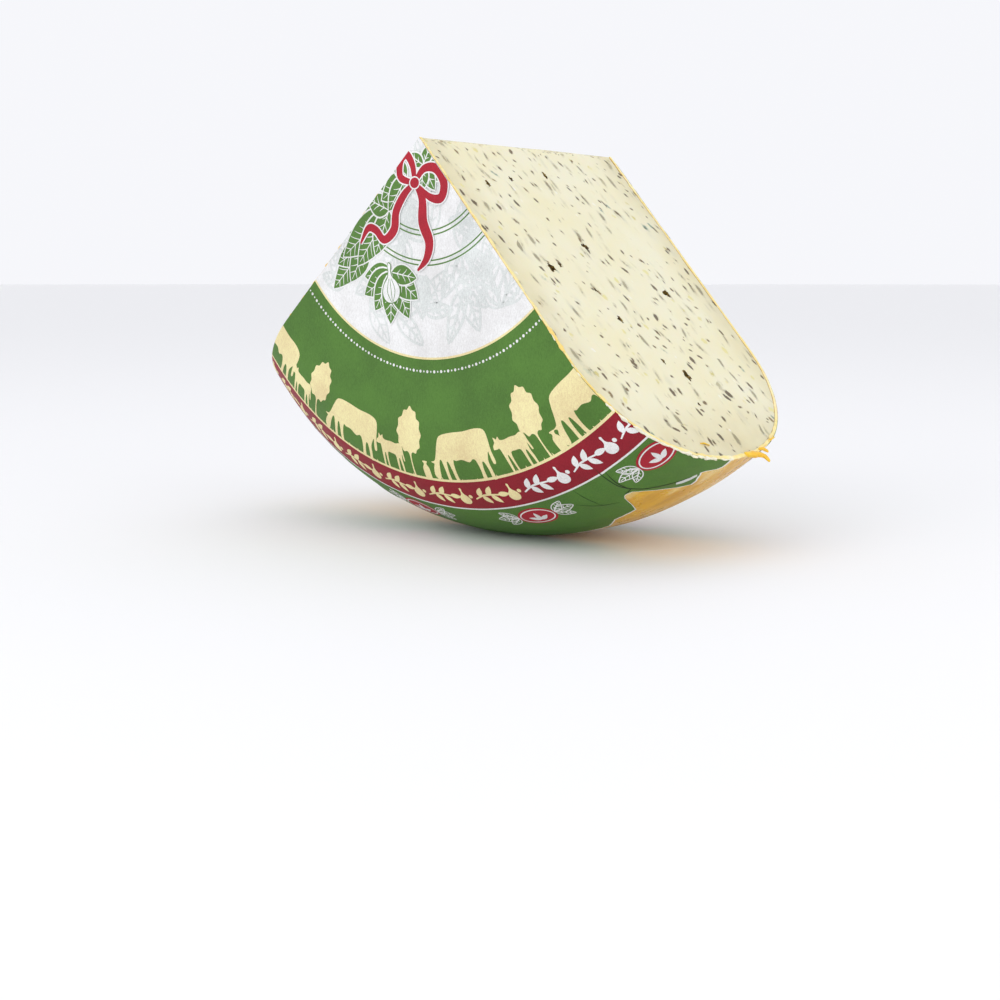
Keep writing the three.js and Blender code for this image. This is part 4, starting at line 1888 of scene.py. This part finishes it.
@dataclass
class CoatingShreds:
    """Shreds and crumbs that the knife dragged out of the coating."""

    shape: WheelShape
    material: bpy.types.Material

    def build(self) -> bpy.types.Object:
        """Builds all shreds as one piece.

        Returns:
            The piece.
        """
        mesh = bmesh.new()
        axes = (self.shape.outward(1), self.shape.way(1), Vector((0, 1, 0)))
        hook = ((0, -0.4, -3.4, 2.0), (0.2, 0.3, -1.8, 3.2), (0.7, 0.9, 0.0, 3.8), (1.4, 1.5, 1.4, 3.2),
                (1.9, 2.6, 2.2, 2.6), (2.1, 3.9, 2.6, 1.9), (2.0, 5.0, 2.7, 0.9))
        short = ((0, -0.3, -0.6, 1.4), (0.8, 0.4, 0.2, 1.8), (1.2, 1.4, 0.6, 1.6), (1.3, 2.3, 0.8, 0.8))
        sliver = ((0, -0.2, 0, 0.9), (0.8, -0.2, 1.2, 0.9), (1.0, -0.5, 2.6, 0.4))
        crumb = ((0.1, 0, 0, 0.5), (0.35, 0.2, 1.4, 0.8), (0.3, 0.9, 3.0, 0.6), (0.15, 1.1, 4.0, 0.3))
        for y, up, path in ((8, 0, hook), (14, 0, short), (22, 0, sliver), (-14, 5, crumb)):
            self._tube(mesh, self._rim_spot(y * MM) - axes[1] * up * MM, axes, path)
        bmesh.ops.recalc_face_normals(mesh, faces=mesh.faces)
        return finished("coating_shreds", mesh, (self.material,), 50)

    def _rim_spot(self, y: float) -> Vector:
        """Point of the right cut's edge on the rim, just inside the coating."""
        side = Side.BACK if y > 0 else Side.FRONT
        return self.shape.cut_spot(1, side, self.shape.arc_at(y), -0.6 * MM)

    def _tube(self, mesh: bmesh.types.BMesh, at: Vector, axes: tuple[Vector, Vector, Vector],
              path: Sequence[tuple[float, float, float, float]]) -> None:
        """Adds a soft tapering strand.

        Args:
            mesh: Bmesh that gets the strand.
            at: Its foot.
            axes: Directions of the path's three coordinates.
            path: Points and thickness, in millimetres.
        """
        nodes = [(at + sum((axis * part * MM for axis, part in zip(axes, spot[:3])), Vector()), spot[3] * MM)
                 for spot in spline(path, 4)]
        sweep_strand(mesh, nodes, 0.55)


@dataclass(frozen=True)
class Smear:
    """Soft cheese that the knife drew along the edge of a cut."""

    hand: int
    side: Side
    arcs: tuple[float, float]
    width: float
    lift: float
    cover: float


YELLOW_SMEARS = (
    Smear(1, Side.FRONT, (6, 44), 1.0, -0.55, 0.30),
    Smear(1, Side.FRONT, (72, 106), 1.7, -0.65, 0.42),
    Smear(1, Side.FRONT, (131, 152), 1.1, -0.35, 0.35),
    Smear(1, Side.BACK, (126, 153), 1.3, -0.45, 0.45),
    Smear(1, Side.BACK, (8, 70), 0.8, -0.5, 0.20),
    Smear(-1, Side.FRONT, (24, 84), 0.95, -0.25, 0.22),
    Smear(-1, Side.BACK, (20, 100), 0.8, -0.5, 0.20),
)
PALE_SMEARS = (
    Smear(1, Side.FRONT, (101, 140), 2.1, -0.05, 0.42),
    Smear(1, Side.FRONT, (104, 136), 1.3, 0.35, 0.25),
    Smear(1, Side.FRONT, (138, 153), 1.8, -0.05, 0.45),
    Smear(1, Side.FRONT, (44, 100), 0.75, -0.05, 0.08),
    Smear(1, Side.BACK, (132, 152), 0.8, -0.3, 0.25),
    Smear(-1, Side.FRONT, (96, 150), 0.8, -0.3, 0.15),
)


@dataclass
class EdgeSmears:
    """Thin uneven beads of one stuff along the edges of the cuts."""

    name: str
    shape: WheelShape
    material: bpy.types.Material
    smears: Sequence[Smear]
    pitch: float = 0.6 * MM
    sway: float = 0.28 * MM
    proud: float = 0.05 * MM
    thinnest: float = 0.12
    thickest: float = 1.3

    def build(self) -> bpy.types.Object:
        """Builds all beads of this stuff as one piece.

        Returns:
            The piece.
        """
        mesh = bmesh.new()
        for index, smear in enumerate(self.smears):
            self._bead(mesh, smear, 7.3 * index)
        bmesh.ops.recalc_face_normals(mesh, faces=mesh.faces)
        return finished(self.name, mesh, (self.material,), 60)

    def _bead(self, mesh: bmesh.types.BMesh, smear: Smear, seed: float) -> None:
        """Lays one smear, broken wherever its noise runs low.

        Args:
            mesh: Bmesh of the piece.
            smear: The smear.
            seed: Shift that makes its noise its own.
        """
        start, end = (arc * MM for arc in smear.arcs)
        outward = self.shape.outward(smear.hand)
        run: list[tuple[Vector, float]] = []
        for step in range(round((end - start) / self.pitch) + 1):
            arc = start + step * self.pitch
            body = noise.noise(Vector((arc / (2.6 * MM), seed, 0.0))) + smear.cover
            fine = noise.noise(Vector((arc / (0.9 * MM), seed, 3.0)))
            share = min(body + 0.35 * fine, self.thickest)
            if share > self.thinnest and step * self.pitch < end - start - self.pitch:
                sway = self.sway * noise.noise(Vector((arc / (1.7 * MM), seed, 6.0)))
                spot = self.shape.cut_spot(smear.hand, smear.side, arc, smear.lift * MM + sway)
                run.append((spot + outward * self.proud, smear.width * MM * share))
            else:
                if len(run) > 1:
                    sweep_strand(mesh, run, 0.6)
                run = []


# ---------------------------------------------------------------- the studio


@dataclass(frozen=True)
class Lamp:
    """A square soft lamp, placed in metres right, ahead and up, as the camera sees the wedge."""

    name: str
    right: float
    ahead: float
    up: float
    size: float
    power: float


LAMPS = (
    Lamp("key", -0.85, -0.75, 0.60, 0.9, 3.0),
    Lamp("top", 0.10, 0.25, 1.30, 1.1, 0.5),
    Lamp("front", 0.85, -0.80, 0.50, 0.9, 2.6),
)


@dataclass
class Studio:
    """Plain white floor, soft lights and the camera."""

    shape: WheelShape
    azimuth: float = math.radians(41.23)
    pitch: float = math.radians(8.227)
    lens: float = 54.0
    sensor: float = 36.0
    offset: tuple[float, float, float] = (9.324 * MM, 113.207 * MM, 486.941 * MM)
    floor_reach: float = 80.0
    floor_tint: Tint = (0.905, 0.905, 0.908)
    sky_tint: Tint = (0.945, 0.950, 0.985)
    sky_strength: float = 0.98

    def build(self) -> None:
        """Builds the studio."""
        self._floor()
        self._lights()
        self._camera()

    def _floor(self) -> None:
        """Floor, large enough for every view."""
        graph = Graph("studio_white")
        graph.surface(Base_Color=self.floor_tint, Roughness=0.7, Specular_IOR_Level=0.1)
        mesh = bmesh.new()
        bmesh.ops.create_grid(mesh, x_segments=1, y_segments=1, size=self.floor_reach)
        data = mesh_data("studio_floor", mesh)
        data.materials.append(graph.material)
        linked("studio_floor", data)

    def _directions(self) -> tuple[Vector, Vector, Vector]:
        """The camera's right, up and forward directions.

        Returns:
            The three directions.
        """
        forward = Vector((-math.sin(self.azimuth) * math.cos(self.pitch),
                          math.cos(self.azimuth) * math.cos(self.pitch), -math.sin(self.pitch)))
        right = Vector((math.cos(self.azimuth), math.sin(self.azimuth), 0.0))
        return right, right.cross(forward), forward

    def _lights(self) -> None:
        """White surroundings and three large soft lamps, placed as the camera sees them."""
        world = bpy.data.worlds.new("studio")
        bpy.context.scene.world = world
        world.use_nodes = True
        backdrop = world.node_tree.nodes["Background"]
        backdrop.inputs["Color"].default_value = (*self.sky_tint, 1.0)
        backdrop.inputs["Strength"].default_value = self.sky_strength
        right, _, forward = self._directions()
        ahead = Vector((forward.x, forward.y, 0)).normalized()
        middle = Vector((0, 0, self.shape.radius / 2))
        for lamp in LAMPS:
            data = bpy.data.lights.new(lamp.name, "AREA")
            data.shape, data.size, data.energy = "SQUARE", lamp.size, lamp.power
            light = linked(lamp.name, data)
            light.location = right * lamp.right + ahead * lamp.ahead + Vector((0, 0, lamp.up))
            light.rotation_euler = (middle - light.location).to_track_quat("-Z", "Y").to_euler()

    def _camera(self) -> None:
        """Adds the camera, level, looking slightly down at the front label and the right cut."""
        right, up, forward = self._directions()
        aside, below, away = self.offset
        data = bpy.data.cameras.new("camera")
        data.lens, data.sensor_width = self.lens, self.sensor
        data.clip_start = 0.01
        camera = linked("camera", data)
        turn = Matrix((right, up, -forward)).transposed().to_4x4()
        place = self.shape.axis - right * aside - up * below - forward * away
        camera.matrix_world = Matrix.Translation(place) @ turn
        bpy.context.scene.camera = camera


def main() -> None:
    """Builds the wedge and its studio."""
    logging.basicConfig(level=logging.INFO, format="%(message)s")
    bpy.context.scene.view_settings.view_transform = "Standard"
    shape = WheelShape()
    finishes = {ink: PrintedPaper(ink).material() for ink in Ink}
    labels = {Side.FRONT: LabelSurface(shape, Side.FRONT, FRONT_HEM, FRONT_CREASES),
              Side.BACK: LabelSurface(shape, Side.BACK, BACK_HEM, BACK_CREASES)}
    pieces = [CheesePaste(shape).build(), YellowCoating(shape, labels).build()]
    for side, surface in labels.items():
        name = side.name.lower()
        design = LabelDesign(folds=FRONT_FOLDS if side is Side.FRONT else ())
        pieces += Label(name, f"{name}_label", surface, design, finishes).build()
    bright = CoatingFinish("shred_yellow", bright=(0.92, 0.59, 0.06), ochre=(0.84, 0.47, 0.03),
                           sheen_share=0.3)
    drawn = CoatingFinish("smeared_yellow", bright=(0.93, 0.70, 0.25), ochre=(0.90, 0.60, 0.15))
    pieces.append(CoatingShreds(shape, bright.material(shape)).build())
    pieces.append(EdgeSmears("yellow_smears", shape, drawn.material(shape), YELLOW_SMEARS).build())
    pieces.append(EdgeSmears("pale_smears", shape, SmearFinish().material(), PALE_SMEARS).build())
    for piece in pieces:
        LOG.info("%s: %d faces", piece.name, len(piece.data.polygons))
    Studio(shape).build()


if __name__ == "__main__":
    main()
